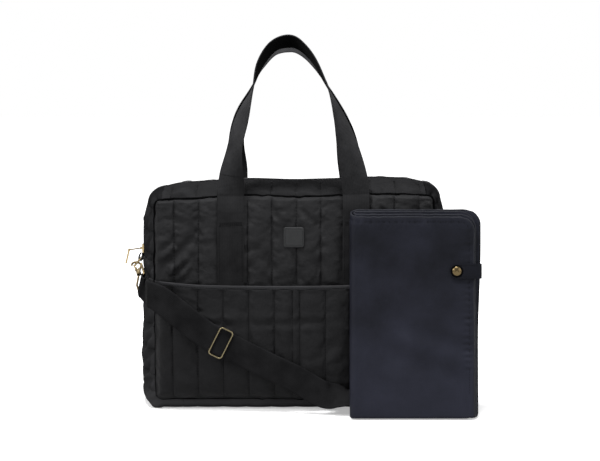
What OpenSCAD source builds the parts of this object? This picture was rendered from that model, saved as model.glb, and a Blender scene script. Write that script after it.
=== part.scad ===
// Quilted baby changing bag with two webbing handles, a clip-on shoulder strap
// and a folded changing mat leaning on its front. Sizes in millimetres, Z up.
// The origin is the middle of the bag's bottom, and -Y is the pocket side.

/* [Bag] */
// Overall width at the zip line
bag_w = 394; // [360:2:460]
// Height of the crest where the zip lies
bag_h = 292; // [260:2:330]
// Depth between the front and back seams
bag_d = 130; // [110:2:160]
// How far the side gussets swell past the front seam
side_bulge = 20; // [12:1:30]
// How far the top swells above the front seam
top_bulge = 17; // [10:1:22]
// Height of the lower front seam above the floor
base_rise = 14; // [10:1:20]
// Corner radius of the front and back seams
panel_r = 9; // [6:0.5:14]
// How far in the gussets are drawn at the corners, as a share of their bulge
corner_pinch = 0.5; // [0:0.05:0.6]
// How far the front and back panels crown outward
panel_crown = 8; // [4:0.5:10]
// Thickness of the quilted wall
wall = 4; // [3:0.5:6]

/* [Quilting] */
// Distance between the stitched channel lines
channel_pitch = 32; // [28:1:40]
// How far the padding swells between the lines
channel_puff = 2; // [1:0.25:2.5]
// Where the first line lies, measured from the middle
channel_shift = 5; // [0:1:10]

/* [Pocket] */
// Height of the pocket's top edge above the floor
pocket_top = 161; // [140:1:180]
// Room inside the pocket
pocket_room = 6; // [5:0.5:8]
// Thickness of the pocket panel
pocket_t = 3; // [2:0.5:4]
// Height of the binding along the pocket's top edge
binding_h = 5; // [4:0.5:8]
// Side of the square badge patch
badge_w = 26; // [20:1:32]
// Height of the badge's middle above the floor
badge_z = 224; // [205:1:235]

/* [Webbing and handles] */
// Width of the webbing
web_w = 34; // [30:1:38]
// Thickness of the webbing
web_t = 1.6; // [1.2:0.1:2]
// Distance between the middles of a handle's two legs
handle_span = 156; // [140:2:180]
// Height of a handle's loop above the top seam
handle_rise = 192; // [160:2:220]
// Turn of the webbing at the top of the loop
handle_twist = 128; // [100:1:135]
// How far the top of the loop sags to the left
handle_sway = 7; // [0:1:10]

/* [Rings and hooks] */
// Radius of the round wire in rings and hooks
wire_r = 1.4; // [1.2:0.1:1.5]
// Radius of the D-ring's bow
ring_r = 13.5; // [12:0.5:15]
// Width of the webbing tab that holds a D-ring
tab_w = 12; // [10:0.5:14]
// How far the D-rings are swung outward
ring_tilt = 40; // [36:1:46]
// Slope of the hooks below level
hook_dip = 38; // [32:1:42]
// How far the hooks turn in toward the bag's front
hook_yaw = 20; // [12:1:24]
// Radius of the hook's bow
bow_r = 6.2; // [6:0.1:6.5]
// Distance from the bow's middle to the bar of the swivel eye
hook_l = 33; // [31:0.5:35]

/* [Strap adjuster] */
// Distance of the adjuster from the bag's middle
adjuster_x = 92; // [85:1:100]
// Length of the adjuster along the strap
adjuster_l = 20; // [18:0.5:24]

/* [Zip] */
// Height of the zip's lower ends above the floor
zip_end = 192; // [186:1:196]
// Width of the gap between the zip strips
zip_gap = 18; // [14:1:20]
// Length of the slider
slider_l = 11; // [9:0.5:13]
// Length of the link between the slider and the pull
link_l = 16; // [13:0.5:18]
// Length of the pull
pull_l = 18; // [15:0.5:22]

/* [Changing mat] */
// Width of a folded leaf
mat_w = 155; // [140:1:160]
// Height of a folded leaf
mat_h = 251; // [235:1:256]
// Thickness of one padded leaf
leaf_t = 3.6; // [3:0.1:4]
// How far the rear leaves stand out past the front ones
leaf_step = 6; // [4:0.5:8]
// Radius of the mat's corners
mat_corner = 18; // [14:1:24]
// Where the mat's left fold stands
mat_x = 70; // [68:1:76]
// Height of the closing tab's middle on the mat
mat_tab_z = 184; // [170:1:200]
// Height of the closing tab
mat_tab_h = 19; // [16:0.5:24]
// How far the closing tab reaches over the front leaf
mat_tab_reach = 39; // [34:1:44]
// Diameter of the snap fastener's cap
snap_d = 12; // [10:0.5:14]

/* [Fits] */
// Gap between pieces that lie on each other
seat = 0.3; // [0.25:0.05:0.5]
// Play round a turning pin
play = 0.25; // [0.2:0.05:0.35]

/* [Hidden] */
$fn = 40;

seam_y = bag_d / 2;
panel_w = bag_w - 2 * side_bulge;
seam_lo = base_rise;
seam_hi = bag_h - top_bulge;
seam_mid = (seam_lo + seam_hi) / 2;
rim_t = 2;
top_half = panel_w / 2 - panel_r;
base_run = 26;
base_half = top_half - base_run;
zip_half = zip_gap / 2;
fine = 4;
corner_steps = 3;

nylon = [0.07, 0.07, 0.08];
webbing = [0.10, 0.10, 0.11];
brass = [0.78, 0.62, 0.30];
navy = [0.13, 0.14, 0.17];

// Closed sheet between two grids of points, the first grid on the outer side
module thick_sheet(a, b) {
    n = len(a);
    m = len(a[0]);
    points = concat([for (row = a) each row], [for (row = b) each row]);
    outer = [for (i = [0 : n - 2], j = [0 : m - 2]) each
        [[i * m + j, i * m + j + 1, (i + 1) * m + j + 1],
         [i * m + j, (i + 1) * m + j + 1, (i + 1) * m + j]]];
    inner = [for (f = outer) [f[2] + n * m, f[1] + n * m, f[0] + n * m]];
    rim = concat([for (j = [0 : m - 2]) j], [for (i = [0 : n - 2]) i * m + m - 1],
        [for (j = [m - 1 : -1 : 1]) (n - 1) * m + j], [for (i = [n - 1 : -1 : 1]) i * m]);
    count = len(rim);
    edge = [for (k = [0 : count - 1]) let (p = rim[k], q = rim[(k + 1) % count]) each
        [[q, p, p + n * m], [q, p + n * m, q + n * m]]];
    polyhedron(points, concat(outer, inner, edge));
}

// Flat band swept along stations, each a middle point, a direction across and a face direction
module ribbon(stations, width, thick) {
    near = [for (s = stations) [s[0] - s[1] * width / 2 - s[2] * thick / 2,
        s[0] + s[1] * width / 2 - s[2] * thick / 2]];
    far = [for (s = stations) [s[0] - s[1] * width / 2 + s[2] * thick / 2,
        s[0] + s[1] * width / 2 + s[2] * thick / 2]];
    thick_sheet(near, far);
}

function unit(v) = v / norm(v);

// Round rod between two points
module rod(p, q, r) {
    d = q - p;
    translate(p)
        rotate([0, acos(d[2] / norm(d)), atan2(d[1], d[0])])
            cylinder(h = norm(d), r = r);
}

// Quilting: grid lines across a width, on the stitched lines and between them
function across(w) = let (step = channel_pitch / fine)
    concat([-w / 2],
        [for (k = [floor(-w / step) : ceil(w / step)])
            if (abs(channel_shift + k * step) < w / 2 - step / 3) channel_shift + k * step],
        [w / 2]);
function puff_share(u) = pow(abs(sin(180 * (u - channel_shift) / channel_pitch)), 0.6);

// Front and back panels
function corner_drop(x) = let (d = max(0, abs(x) - top_half))
    panel_r - sqrt(max(0, panel_r * panel_r - d * d));
function seam_top(x) = seam_hi - corner_drop(x);
function seam_bottom(x) = seam_lo + corner_drop(x);
function crown(x, z) = panel_crown * (1 - pow(abs(2 * x / panel_w), 4))
    * (1 - pow(abs((z - seam_mid) / (seam_hi - seam_mid)), 4));
function panel_face(x, z) = seam_y + rim_t + crown(x, z) + channel_puff;

module crowned_panel() {
    rows = 8;
    grid = [for (x = across(panel_w))
        [for (j = [0 : rows]) [x, seam_bottom(x) + (seam_top(x) - seam_bottom(x)) * j / rows]]];
    thick_sheet(
        [for (column = grid) [for (p = column)
            [p[0], channel_puff * (1 - puff_share(p[0])) - panel_face(p[0], p[1]), p[1]]]],
        [for (column = grid) [for (p = column) [p[0], -seam_y - crown(p[0], p[1]), p[1]]]]);
}

module front_panel() {
    color(nylon) crowned_panel();
}

module back_panel() {
    color(nylon) mirror([0, 1, 0]) crowned_panel();
}

// Gussets: stations round the right half of the seam, as point, outward direction and run length
function turn(a) = [cos(a), sin(a)];
function corner_at(a) = concat([top_half, a < 0 ? seam_lo + panel_r : seam_hi - panel_r]
    + panel_r * turn(a), turn(a),
    [(a < 0 ? seam_lo + panel_r : seam_hi - panel_r) + panel_r * a * PI / 180]);
function side_at(z) = [panel_w / 2, z, 1, 0, z];
function top_at(x) = [x, seam_hi, 0, 1, x];
function base_at(x) = [x, seam_lo, 0, -1, channel_shift + channel_pitch / 2];
function pinch(s) = let (d = norm([panel_w / 2 - abs(s[0]), min(s[1] - seam_lo, seam_hi - s[1])]))
    1 - corner_pinch * exp(-d * d / 500);
function bulge(s) = pinch(s)
    * norm([side_bulge * s[2], (s[3] > 0 ? top_bulge : base_rise) * s[3]]);
function arch(y) = max(0, cos(90 * y / seam_y));
function tray(y) = let (d = max(0, abs(y) - seam_y + base_rise) / base_rise) sqrt(max(0, 1 - d * d));
function swell(s, y) = s[3] < 0 ? (1 + s[3]) * arch(y) - s[3] * tray(y) : arch(y);
function out_by(s, y, d) = [s[0] + s[2] * d, y, s[1] + s[3] * d];
function skin_at(s, y, soft) = out_by(s, y,
    (bulge(s) - soft * channel_puff * (1 - puff_share(s[4]))) * swell(s, y));
function under_at(s, y, deep) = out_by(s, y, bulge(s) * swell(s, y) - channel_puff - deep);

function span(a, b, count) = [for (k = [0 : count]) a + (b - a) * k / count];
function side_steps(lo, hi) = span(lo, hi, max(2, ceil((hi - lo) * fine / channel_pitch)));

module gusset_patch(stations, ys) {
    thick_sheet([for (s = stations) [for (y = ys) skin_at(s, y, 1)]],
        [for (s = stations) [for (y = ys) under_at(s, y, wall)]]);
}

module side_gusset() {
    gusset_patch(concat([for (x = span(base_half, top_half - 1, 3)) base_at(x)],
        [for (a = span(-90, -30, corner_steps)) corner_at(a)],
        [for (z = side_steps(seam_lo + panel_r, zip_end - seat)) side_at(z)]),
        span(seam_y, -seam_y, 12));
}

module upper_strip() {
    gusset_patch(concat([for (z = side_steps(zip_end, seam_hi - panel_r)) side_at(z)],
        [for (a = span(30, 90, corner_steps)) corner_at(a)]), span(-zip_half, -seam_y, 5));
}

module flap() {
    xs = across(2 * (top_half - seat));
    gusset_patch([for (k = [len(xs) - 1 : -1 : 0]) top_at(xs[k])], span(-zip_half, -seam_y, 5));
}

module right_side_gusset() {
    color(nylon) side_gusset();
}

module left_side_gusset() {
    color(nylon) mirror([1, 0, 0]) side_gusset();
}

module right_front_strip() {
    color(nylon) upper_strip();
}

module right_back_strip() {
    color(nylon) mirror([0, 1, 0]) upper_strip();
}

module left_front_strip() {
    color(nylon) mirror([1, 0, 0]) upper_strip();
}

module left_back_strip() {
    color(nylon) mirror([1, 0, 0]) mirror([0, 1, 0]) upper_strip();
}

module front_flap() {
    color(nylon) flap();
}

module back_flap() {
    color(nylon) mirror([0, 1, 0]) flap();
}

module bottom_gusset() {
    color(nylon)
        rotate([90, 0, 90])
            linear_extrude(height = 2 * (base_half - seat), center = true)
                difference() {
                    union() {
                        translate([-seam_y + base_rise, 0])
                            square([bag_d - 2 * base_rise, wall]);
                        for (side = [-1, 1])
                            translate([side * (seam_y - base_rise), base_rise])
                                circle(r = base_rise);
                    }
                    translate([-seam_y + base_rise, wall])
                        square([bag_d - 2 * base_rise, 2 * base_rise]);
                    for (side = [-1, 1])
                        translate([side * (seam_y - base_rise), base_rise])
                            circle(r = base_rise - wall);
                    translate([-bag_d, base_rise])
                        square([2 * bag_d, 2 * base_rise]);
                }
}

// Lining: an open tub inside the walls
lining_w = panel_w - 2 * (wall + channel_puff + seat);
lining_lo = seam_lo + wall + channel_puff + seat;
lining_hi = seam_hi - wall - channel_puff - seat;
lining_t = 1;
lining_r = 12;

module lining_outline(inset) {
    r = lining_r - inset;
    union() {
        for (side = [-1, 1])
            translate([side * (lining_w / 2 - inset - r), lining_lo + inset + r])
                circle(r = r);
        translate([-lining_w / 2 + inset + r, lining_lo + inset])
            square([lining_w - 2 * inset - 2 * r, lining_hi - lining_lo]);
        translate([-lining_w / 2 + inset, lining_lo + inset + r])
            square([lining_w - 2 * inset, lining_hi - lining_lo - 2 * r]);
    }
}

module lining() {
    color([0.22, 0.23, 0.25])
        difference() {
            rotate([90, 0, 0])
                linear_extrude(height = bag_d - 2 * seat, center = true)
                    lining_outline(0);
            rotate([90, 0, 0])
                linear_extrude(height = bag_d - 2 * seat - 2 * lining_t, center = true)
                    lining_outline(lining_t);
            translate([-bag_w, -bag_d, lining_hi - lining_r])
                cube([2 * bag_w, 2 * bag_d, bag_h]);
        }
}

// Front pocket: sewn at the sides and the bottom, open along its top edge
pocket_hi = pocket_top - binding_h / 2;
function pocket_lift(x, z) = pocket_room * (1 - pow(abs(2 * x / panel_w), 8))
    * min(1, (z - seam_bottom(x)) / 24);
function pocket_back(x, z) = panel_face(x, z) + seat + pocket_lift(x, z);

module pocket_panel() {
    rows = 6;
    shares = [0, 0.08, 0.16, 0.4, 0.6, 0.8, 1];
    grid = [for (x = across(panel_w))
        [for (j = [0 : rows]) [x, seam_bottom(x) + (pocket_hi - seam_bottom(x)) * shares[j]]]];
    color(nylon)
        thick_sheet(
            [for (column = grid) [for (p = column) [p[0],
                -pocket_back(p[0], p[1]) - pocket_t - channel_puff * puff_share(p[0]), p[1]]]],
            [for (column = grid) [for (p = column) [p[0], -pocket_back(p[0], p[1]), p[1]]]]);
}

module pocket_binding() {
    lip = pocket_hi + seat / 3;
    xs = across(panel_w);
    color([0.2, 0.2, 0.22])
        thick_sheet(
            [for (x = xs) [for (z = [lip, lip + binding_h])
                [x, -pocket_back(x, pocket_hi) - pocket_t, z]]],
            [for (x = xs) [for (z = [lip, lip + binding_h]) [x, -pocket_back(x, pocket_hi), z]]]);
}

module badge() {
    color([0.25, 0.25, 0.27])
        translate([0, -panel_face(0, badge_z - badge_w / 2) - seat, badge_z])
            rotate([90, 0, 0])
                linear_extrude(height = 1.2)
                    square(badge_w, center = true);
}

// Zip: two halves on the flaps and a closed run down each side
tape_drop = 1.5;
tape_t = 1;
coil_r = 1.8;
function tape_at(s, y, d) = out_by(s, y, bulge(s) * swell(s, y) - tape_drop - d);

module tape(stations, ys) {
    thick_sheet([for (s = stations) [for (y = ys) tape_at(s, y, 0)]],
        [for (s = stations) [for (y = ys) tape_at(s, y, tape_t)]]);
}

module coil(stations, y_from, y_to) {
    thick_sheet([for (s = stations) [for (y = [y_from, y_to]) out_by(s, y, bulge(s) - seat)]],
        [for (s = stations) [for (y = [y_from, y_to]) out_by(s, y, bulge(s) - tape_drop - 0.4)]]);
}

module top_zip_half() {
    stations = [for (x = span(top_half - seat, seat - top_half, 24)) top_at(x)];
    tape(stations, span(-seat / 2, -zip_half + seat / 2, 2));
    coil(stations, -seat / 2, -coil_r);
}

module side_zip_run() {
    stations = concat([for (z = span(zip_end, seam_hi - panel_r, 4)) side_at(z)],
        [for (a = span(30, 90, corner_steps)) corner_at(a)]);
    tape(stations, span(zip_half - seat / 2, -zip_half + seat / 2, 4));
    coil(stations, coil_r, -coil_r);
}

module front_zip_half() {
    color(webbing) top_zip_half();
}

module back_zip_half() {
    color(webbing) mirror([0, 1, 0]) top_zip_half();
}

module right_zip_run() {
    color(webbing) side_zip_run();
}

module left_zip_run() {
    color(webbing) mirror([1, 0, 0]) side_zip_run();
}

// Zip slider, link and pull at the left end of the zip
side_x = bag_w / 2;
plate_t = 1.2;
plate_x = side_x + play;
slider_z = zip_end + slider_l / 2 + 3;
lug_x = plate_x + plate_t + 1.6;
link_r = 0.6;
link_wire = 0.5;
link_half = 3.2;
link_dip = 9;
link_end = [-lug_x - link_l * cos(link_dip), 0, slider_z - link_l * sin(link_dip)];
pull_lean = 13;
pull_hole = link_r + play;

module zip_slider() {
    color(brass) {
        translate([-plate_x - plate_t, -4.5, slider_z - slider_l / 2])
            cube([plate_t, 9, slider_l]);
        for (side = [-1, 1])
            translate([-plate_x - plate_t / 2, side * 3.6 - 0.6, slider_z - slider_l / 2])
                cube([1.6, 1.2, slider_l]);
        for (side = [-1, 1])
            translate([-lug_x, side * 2 - 0.5, slider_z])
                rotate([-90, 0, 0])
                    difference() {
                        union() {
                            cylinder(h = 1, r = 1.5);
                            translate([0, -1.5, 0])
                                cube([lug_x - plate_x - plate_t / 2, 3, 1]);
                        }
                        translate([0, 0, -1])
                            cylinder(h = 3, r = link_r + play);
                    }
    }
}

module zip_link() {
    color(brass)
        translate([-lug_x, 0, slider_z])
            rotate([0, -link_dip, 0]) {
                for (x = [0, -link_l])
                    rod([x, -link_half - link_wire, 0], [x, link_half + link_wire, 0], link_r);
                for (side = [-1, 1])
                    rod([0, side * link_half, 0], [-link_l, side * link_half, 0], link_wire);
            }
}

module zip_pull() {
    color(brass)
        translate(link_end)
            rotate([90, pull_lean, 0])
                difference() {
                    union() {
                        cylinder(h = 4.2, r = 1.7, center = true);
                        translate([-1.1, -pull_l, -2.1])
                            cube([2.2, pull_l, 4.2]);
                    }
                    cylinder(h = 6, r = pull_hole, center = true);
                }
}

// Handles: a loop that twists as it rises, and its legs sewn to the panel
leg_x = handle_span / 2;
handle_z = seam_hi + 1;
handle_y = -seam_y - rim_t - channel_puff - seat - web_t / 2;
function loop_at(a) = [-leg_x * cos(a) * (1 - 0.25 * sin(a) * sin(a))
    - handle_sway * sin(a) * sin(a), handle_y, handle_z + handle_rise * sin(a)];
function loop_turn(a) = handle_twist * sin(a);
function loop_station(a) = let (
        along = a <= 0.5 ? [0, 0, 1] : a >= 179.5 ? [0, 0, -1]
            : unit(loop_at(a + 0.5) - loop_at(a - 0.5)),
        inward = [along[2], 0, -along[0]],
        across_web = cos(loop_turn(a)) * inward - sin(loop_turn(a)) * [0, 1, 0])
    [loop_at(a), across_web, cross(across_web, along)];

module handle_loop() {
    ribbon([for (a = span(0, 180, 36)) loop_station(a)], web_w, web_t);
}

module handle_legs() {
    rows = 6;
    z_lo = pocket_top - 14;
    for (side = [-1, 1])
        thick_sheet(
            [for (x = [-web_w / 2, web_w / 2]) [for (z = span(z_lo, handle_z - seat, rows))
                [side * leg_x + x, -panel_face(leg_x - web_w / 2, z) - seat - web_t, z]]],
            [for (x = [-web_w / 2, web_w / 2]) [for (z = span(z_lo, handle_z - seat, rows))
                [side * leg_x + x, -panel_face(leg_x - web_w / 2, z) - seat, z]]]);
}

module front_handle() {
    color(webbing) handle_loop();
}

module back_handle() {
    color(webbing) mirror([0, 1, 0]) handle_loop();
}

module front_handle_legs() {
    color(webbing) handle_legs();
}

module back_handle_legs() {
    color(webbing) mirror([0, 1, 0]) handle_legs();
}

// D-ring tabs, D-rings and snap hooks on the right side, mirrored for the left
tab_r = wire_r + play + web_t;
bar_x = side_x + seat + tab_r;
bar_z = zip_end - 5;
tab_h = 7;
hook_dir = [-sin(hook_yaw) * cos(hook_dip), -cos(hook_yaw) * cos(hook_dip), -sin(hook_dip)];
hook_up = [-sin(hook_yaw) * sin(hook_dip), -cos(hook_yaw) * sin(hook_dip), cos(hook_dip)];
hook_side = [cos(hook_yaw), -sin(hook_yaw), 0];
ring_touch = [bar_x + ring_r * sin(hook_dip) * sin(ring_tilt), -ring_r * cos(hook_dip),
    bar_z - ring_r * sin(hook_dip) * cos(ring_tilt)];
bow_mid = ring_touch + hook_dir * (bow_r - 2 * wire_r - 2 * seat);
neck_l = 6;
collar_at = bow_r + neck_l;
eye_bar = bow_mid + hook_dir * hook_l;
eye_play = 1;
eye_half = web_w / 2 + eye_play + wire_r;
collar_l = 4;
collar_r = 3.2;
shaft_r = 1.3;
shoulder = 2;

module ring_tab() {
    translate([0, tab_w / 2, 0])
        rotate([90, 0, 0])
            linear_extrude(height = tab_w)
                difference() {
                    union() {
                        translate([bar_x, bar_z])
                            circle(r = tab_r);
                        translate([bar_x - tab_r, bar_z])
                            square([2 * tab_r, tab_h]);
                    }
                    translate([bar_x, bar_z])
                        circle(r = wire_r + play);
                }
}

module d_ring() {
    translate([bar_x, 0, bar_z])
        rotate([0, -ring_tilt, 0]) {
            rod([0, -ring_r, 0], [0, ring_r, 0], wire_r);
            rotate([0, 90, 0])
                rotate([0, 0, -90])
                    rotate_extrude(angle = 180)
                        translate([ring_r, 0])
                            circle(r = wire_r, $fn = 20);
            for (side = [-1, 1])
                translate([0, side * ring_r, 0])
                    sphere(r = wire_r + 0.06);
        }
}

// Places a shape drawn along +X, with its up direction along +Z, onto the hook's line
module on_hook() {
    translate(bow_mid)
        multmatrix([for (k = [0 : 2]) [hook_dir[k], hook_side[k], hook_up[k], 0]])
            children();
}

pin_r = 0.6;
pin_at = bow_r * [cos(22), sin(22), 0];
nose_turn = 98;
gate_r = 0.9;
gate_tip = [-0.1 * bow_r, bow_r - wire_r - gate_r - seat, 0];

module hook_body() {
    on_hook() {
        rotate([0, 0, nose_turn])
            rotate_extrude(angle = 240)
                translate([bow_r, 0])
                    circle(r = wire_r, $fn = 20);
        rod(bow_r * [cos(nose_turn + 240), sin(nose_turn + 240), 0], [bow_r + 2.6, -0.4, 0], wire_r);
        translate([bow_r + 1.8, 0, 0])
            rotate([0, 90, 0])
                cylinder(h = neck_l - 1.8 - seat, r = 2.2);
        translate([bow_r + 2, 0, 0])
            rotate([0, 90, 0])
                cylinder(h = neck_l, r = shaft_r);
        translate(pin_at - [0, 0, 2.1])
            cylinder(h = 4.2, r = pin_r);
        for (z = [-2.1, 1.3])
            translate(pin_at + [0, 0, z]) {
                cylinder(h = 0.8, r = 1.4);
                translate([0, -1.4, 0])
                    cube([3.6, 2.2, 0.8]);
            }
    }
}

module hook_gate() {
    on_hook()
        difference() {
            union() {
                rod(pin_at, gate_tip, gate_r);
                translate(pin_at - [0, 0, 1.05])
                    cylinder(h = 2.1, r = 1.4);
            }
            translate(pin_at - [0, 0, 3])
                cylinder(h = 6, r = pin_r + play);
        }
}

module hook_eye() {
    on_hook() {
        translate([collar_at, 0, 0])
            rotate([0, 90, 0])
                difference() {
                    cylinder(h = collar_l, r = collar_r);
                    translate([0, 0, -collar_l])
                        cylinder(h = 1.575 * collar_l, r = shaft_r + play);
                }
        for (side = [-1, 1]) {
            rod([collar_at + 0.75 * collar_l, 0, side * shoulder],
                [collar_at + collar_l, 0, side * eye_half], wire_r);
            rod([collar_at + collar_l, 0, side * eye_half], [hook_l, 0, side * eye_half], wire_r);
            for (u = [collar_at + collar_l, hook_l])
                translate([u, 0, side * eye_half])
                    sphere(r = wire_r + 0.06);
        }
        rod([hook_l, 0, -eye_half], [hook_l, 0, eye_half], wire_r);
    }
}

module left_ring_tab() {
    color(webbing) mirror([1, 0, 0]) ring_tab();
}

module right_ring_tab() {
    color(webbing) ring_tab();
}

module left_d_ring() {
    color(brass) mirror([1, 0, 0]) d_ring();
}

module right_d_ring() {
    color(brass) d_ring();
}

module left_hook_eye() {
    color(brass) mirror([1, 0, 0]) hook_eye();
}

module right_hook_eye() {
    color(brass) hook_eye();
}

module left_hook_body() {
    color(brass) mirror([1, 0, 0]) hook_body();
}

module right_hook_body() {
    color(brass) hook_body();
}

module left_hook_gate() {
    color(brass) mirror([1, 0, 0]) hook_gate();
}

module right_hook_gate() {
    color(brass) hook_gate();
}

// Shoulder strap: one length of webbing that turns round both eye bars
loop_r = wire_r + play + web_t / 2;
adj_r = 1.2;
adj_level = web_t / 2 + seat + adj_r;
pocket_face = panel_face(0, pocket_hi) + seat + pocket_room + pocket_t + channel_puff;
strap_y = -(seam_y + rim_t + panel_crown + channel_puff + seat + pocket_room + pocket_t
    + channel_puff + adj_level + adj_r + seat);
strap_slope = 0.5;
adjuster_z = 91.5;
adj_play = 0.4;
right_eye = eye_bar;
left_eye = [-eye_bar[0], eye_bar[1], eye_bar[2]];
edge_x = panel_w / 2;

function run_z(x) = adjuster_z - strap_slope * (x + adjuster_x);

function on_side(side, v) = [side * v[0], v[1], v[2]];
function on_left(v) = on_side(-1, v);
front_edge = seam_y + rim_t;

// Route of the outer layer, each place with the direction that its face looks in
strap_route = concat(
    [[left_eye + loop_r * on_left(hook_side), on_left(hook_side)],
     [left_eye + loop_r * on_left(hook_side) + 6 * on_left(hook_dir), on_left(hook_side)],
     [[-edge_x - 12.5, -front_edge + 17, 151], [-0.9, -0.45, 0]],
     [[-edge_x - 8, -front_edge - 10, 151], [-0.75, -0.75, 0]],
     [[-edge_x + 6, strap_y + 4, 147], [-0.25, -1, 0]],
     [[-150, strap_y, 132], [0, -1, 0]],
     [[-125, strap_y, 112], [0, -1, 0]]],
    [for (x = [-adjuster_x - 14, -adjuster_x, -adjuster_x + 30, -adjuster_x + 62])
        [[x, strap_y, run_z(x)], [0, -1, 0]]],
    [[[0, strap_y, 46], [0, -1, 0]],
     [[36, strap_y - 2, 26.5], [0, -0.95, 0.3]],
     [[70, strap_y - 3, 30], [0, -0.92, 0.4]],
     [[100, strap_y - 2, 52], [0, -0.97, 0.2]],
     [[128, strap_y + 1, 80], [0, -1, 0]],
     [[150, strap_y + 3, 108], [0, -1, 0]],
     [[edge_x - 6, strap_y + 8, 134], [0.25, -1, 0]],
     [[edge_x + 8, -front_edge - 10, 147], [0.75, -0.75, 0]],
     [[edge_x + 12.5, -front_edge + 17, 151], [0.9, -0.45, 0]],
     [right_eye + loop_r * hook_side + 6 * hook_dir, hook_side],
     [right_eye + loop_r * hook_side, hook_side]]);
route_end = len(strap_route) - 1;

function route_pick(k, part) = strap_route[max(0, min(route_end, k))][part];
function route_slope(k, part) = (route_pick(k + 1, part) - route_pick(k - 1, part)) / 2;
function route_mix(u, part) = let (k = min(route_end - 1, floor(u)), f = u - k)
    route_pick(k, part) * (1 + 2 * f) * (1 - f) * (1 - f)
    + route_slope(k, part) * f * (1 - f) * (1 - f)
    + route_pick(k + 1, part) * f * f * (3 - 2 * f)
    - route_slope(k + 1, part) * f * f * (1 - f);
function route_along(u) = u <= 0.01 ? on_left(hook_dir) : u >= route_end - 0.01 ? -hook_dir
    : unit(route_mix(u + 0.01, 0) - route_mix(u - 0.01, 0));
function route_face(u) = let (t = route_along(u), n = route_mix(u, 1)) unit(n - (n * t) * t);
function strap_station(u) = [route_mix(u, 0), cross(route_along(u), route_face(u)), route_face(u)];

// The inner layer lies close under the outer one, except round the eye bar
function under_gap(d) = web_t + seat
    + (2 * loop_r - web_t - seat) * pow(1 - max(0, min(1, (d - 0.8) / 1.6)), 2);
function inner_station(u, d) = let (s = strap_station(u)) [s[0] - s[2] * under_gap(d), s[1], -s[2]];
function eye_turn(eye, side, a) = let (
        n = -cos(a) * on_side(side, hook_dir) + sin(a) * on_side(side, hook_side))
    [eye + loop_r * n, -on_side(side, hook_up), n];

adjuster_u = 8;
doubled_end = adjuster_u - 0.08;

module strap_webbing() {
    color(webbing)
        ribbon(concat(
            [for (u = span(doubled_end, 0.3, 20)) inner_station(u, u)],
            [for (a = span(-80, 80, 8)) eye_turn(left_eye, -1, a)],
            [for (u = span(0.15, route_end - 0.15, 62)) strap_station(u)],
            [for (a = span(80, -80, 8)) eye_turn(right_eye, 1, a)],
            [for (u = span(route_end - 0.3, route_end - 2.6, 8)) inner_station(u, route_end - u)]),
            web_w, web_t);
}

run_dir = unit([1, 0, -strap_slope]);

module strap_adjuster() {
    half_w = web_w / 2 + adj_play + adj_r;
    half_l = adjuster_l / 2 - adj_r;
    color(brass)
        translate([-adjuster_x, strap_y, adjuster_z])
            multmatrix([[run_dir[0], -run_dir[2], 0, 0], [0, 0, -1, 0],
                [run_dir[2], run_dir[0], 0, 0], [0, 0, 0, 1]]) {
                for (x = [-half_l, half_l])
                    rod([x, -half_w, adj_level], [x, half_w, adj_level], adj_r);
                rod([0, -half_w, -adj_level], [0, half_w, -adj_level], adj_r);
                for (side = [-1, 1])
                    translate([-adjuster_l / 2, side * half_w - adj_r, -adj_level - adj_r])
                        cube([adjuster_l, 2 * adj_r, 2 * adj_level + 2 * adj_r]);
            }
}

// Changing mat: one padded sheet folded in four, standing on its lower folds
leaf_gap = 0.4;
pair_t = 2 * leaf_t + leaf_gap;
stack_t = 2 * pair_t + leaf_gap;
mat_stand = 20;
mat_rest = 0.6;
mat_foot = -strap_y + mat_stand;
leg_touch = panel_face(leg_x - web_w / 2, mat_h) + seat + web_t + mat_rest;
lean = min(atan((mat_foot - pocket_face - mat_rest) / pocket_top),
    atan((mat_foot - leg_touch) / (mat_h + leaf_step)));
mat_drop = pair_t / 2 * (sin(lean) + cos(lean) - 1);

module on_mat() {
    translate([mat_x + stack_t / 2, -mat_foot, -mat_drop])
        rotate([-lean, 0, 0])
            children();
}

module leaf(y_front, step) {
    w = mat_w - stack_t / 2 + step;
    h = mat_h + step;
    translate([0, y_front + leaf_t, 0])
        rotate([90, 0, 0])
            linear_extrude(height = leaf_t) {
                translate([0, pair_t / 2])
                    square([w - mat_corner, h - pair_t / 2]);
                translate([0, pair_t / 2])
                    square([w, h - pair_t / 2 - mat_corner]);
                translate([w - mat_corner, h - mat_corner])
                    circle(r = mat_corner);
            }
}

module half_tube(r_out, r_in, length) {
    rotate_extrude(angle = 180)
        translate([r_in, 0])
            square([r_out - r_in, length]);
}

module mat_sheet() {
    color(navy)
        on_mat() {
            leaf(-stack_t, 0);
            leaf(-stack_t + leaf_t + leaf_gap, 0);
            leaf(-pair_t, leaf_step);
            leaf(-leaf_t, leaf_step);
            for (k = [0, 1])
                translate([0, -pair_t / 2 - (1 - k) * (pair_t + leaf_gap), pair_t / 2])
                    rotate([180, 0, 0])
                        rotate([90, 0, 90])
                            half_tube(pair_t / 2, leaf_gap / 2, mat_w - stack_t / 2 + k * leaf_step);
            for (r = [stack_t / 2, stack_t / 2 - leaf_t - leaf_gap])
                translate([0, -stack_t / 2, pair_t / 2])
                    rotate([0, 0, 90])
                        half_tube(r, max(0.1, r - leaf_t), mat_h - pair_t / 2);
        }
}

// Closing tab with a snap fastener
tab_t = 1.4;
tab_gap = 1.2;
tab_x = mat_w - stack_t / 2 + leaf_step + seat + tab_t;
tab_y = -stack_t - tab_gap - tab_t;
snap_x = tab_x - mat_tab_reach + 10;

module mat_tab_root() {
    color(navy)
        on_mat()
            translate([tab_x - tab_t, tab_y + tab_t + 0.2, mat_tab_z - mat_tab_h / 2])
                cube([tab_t, stack_t + tab_gap - 1, mat_tab_h]);
}

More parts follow.
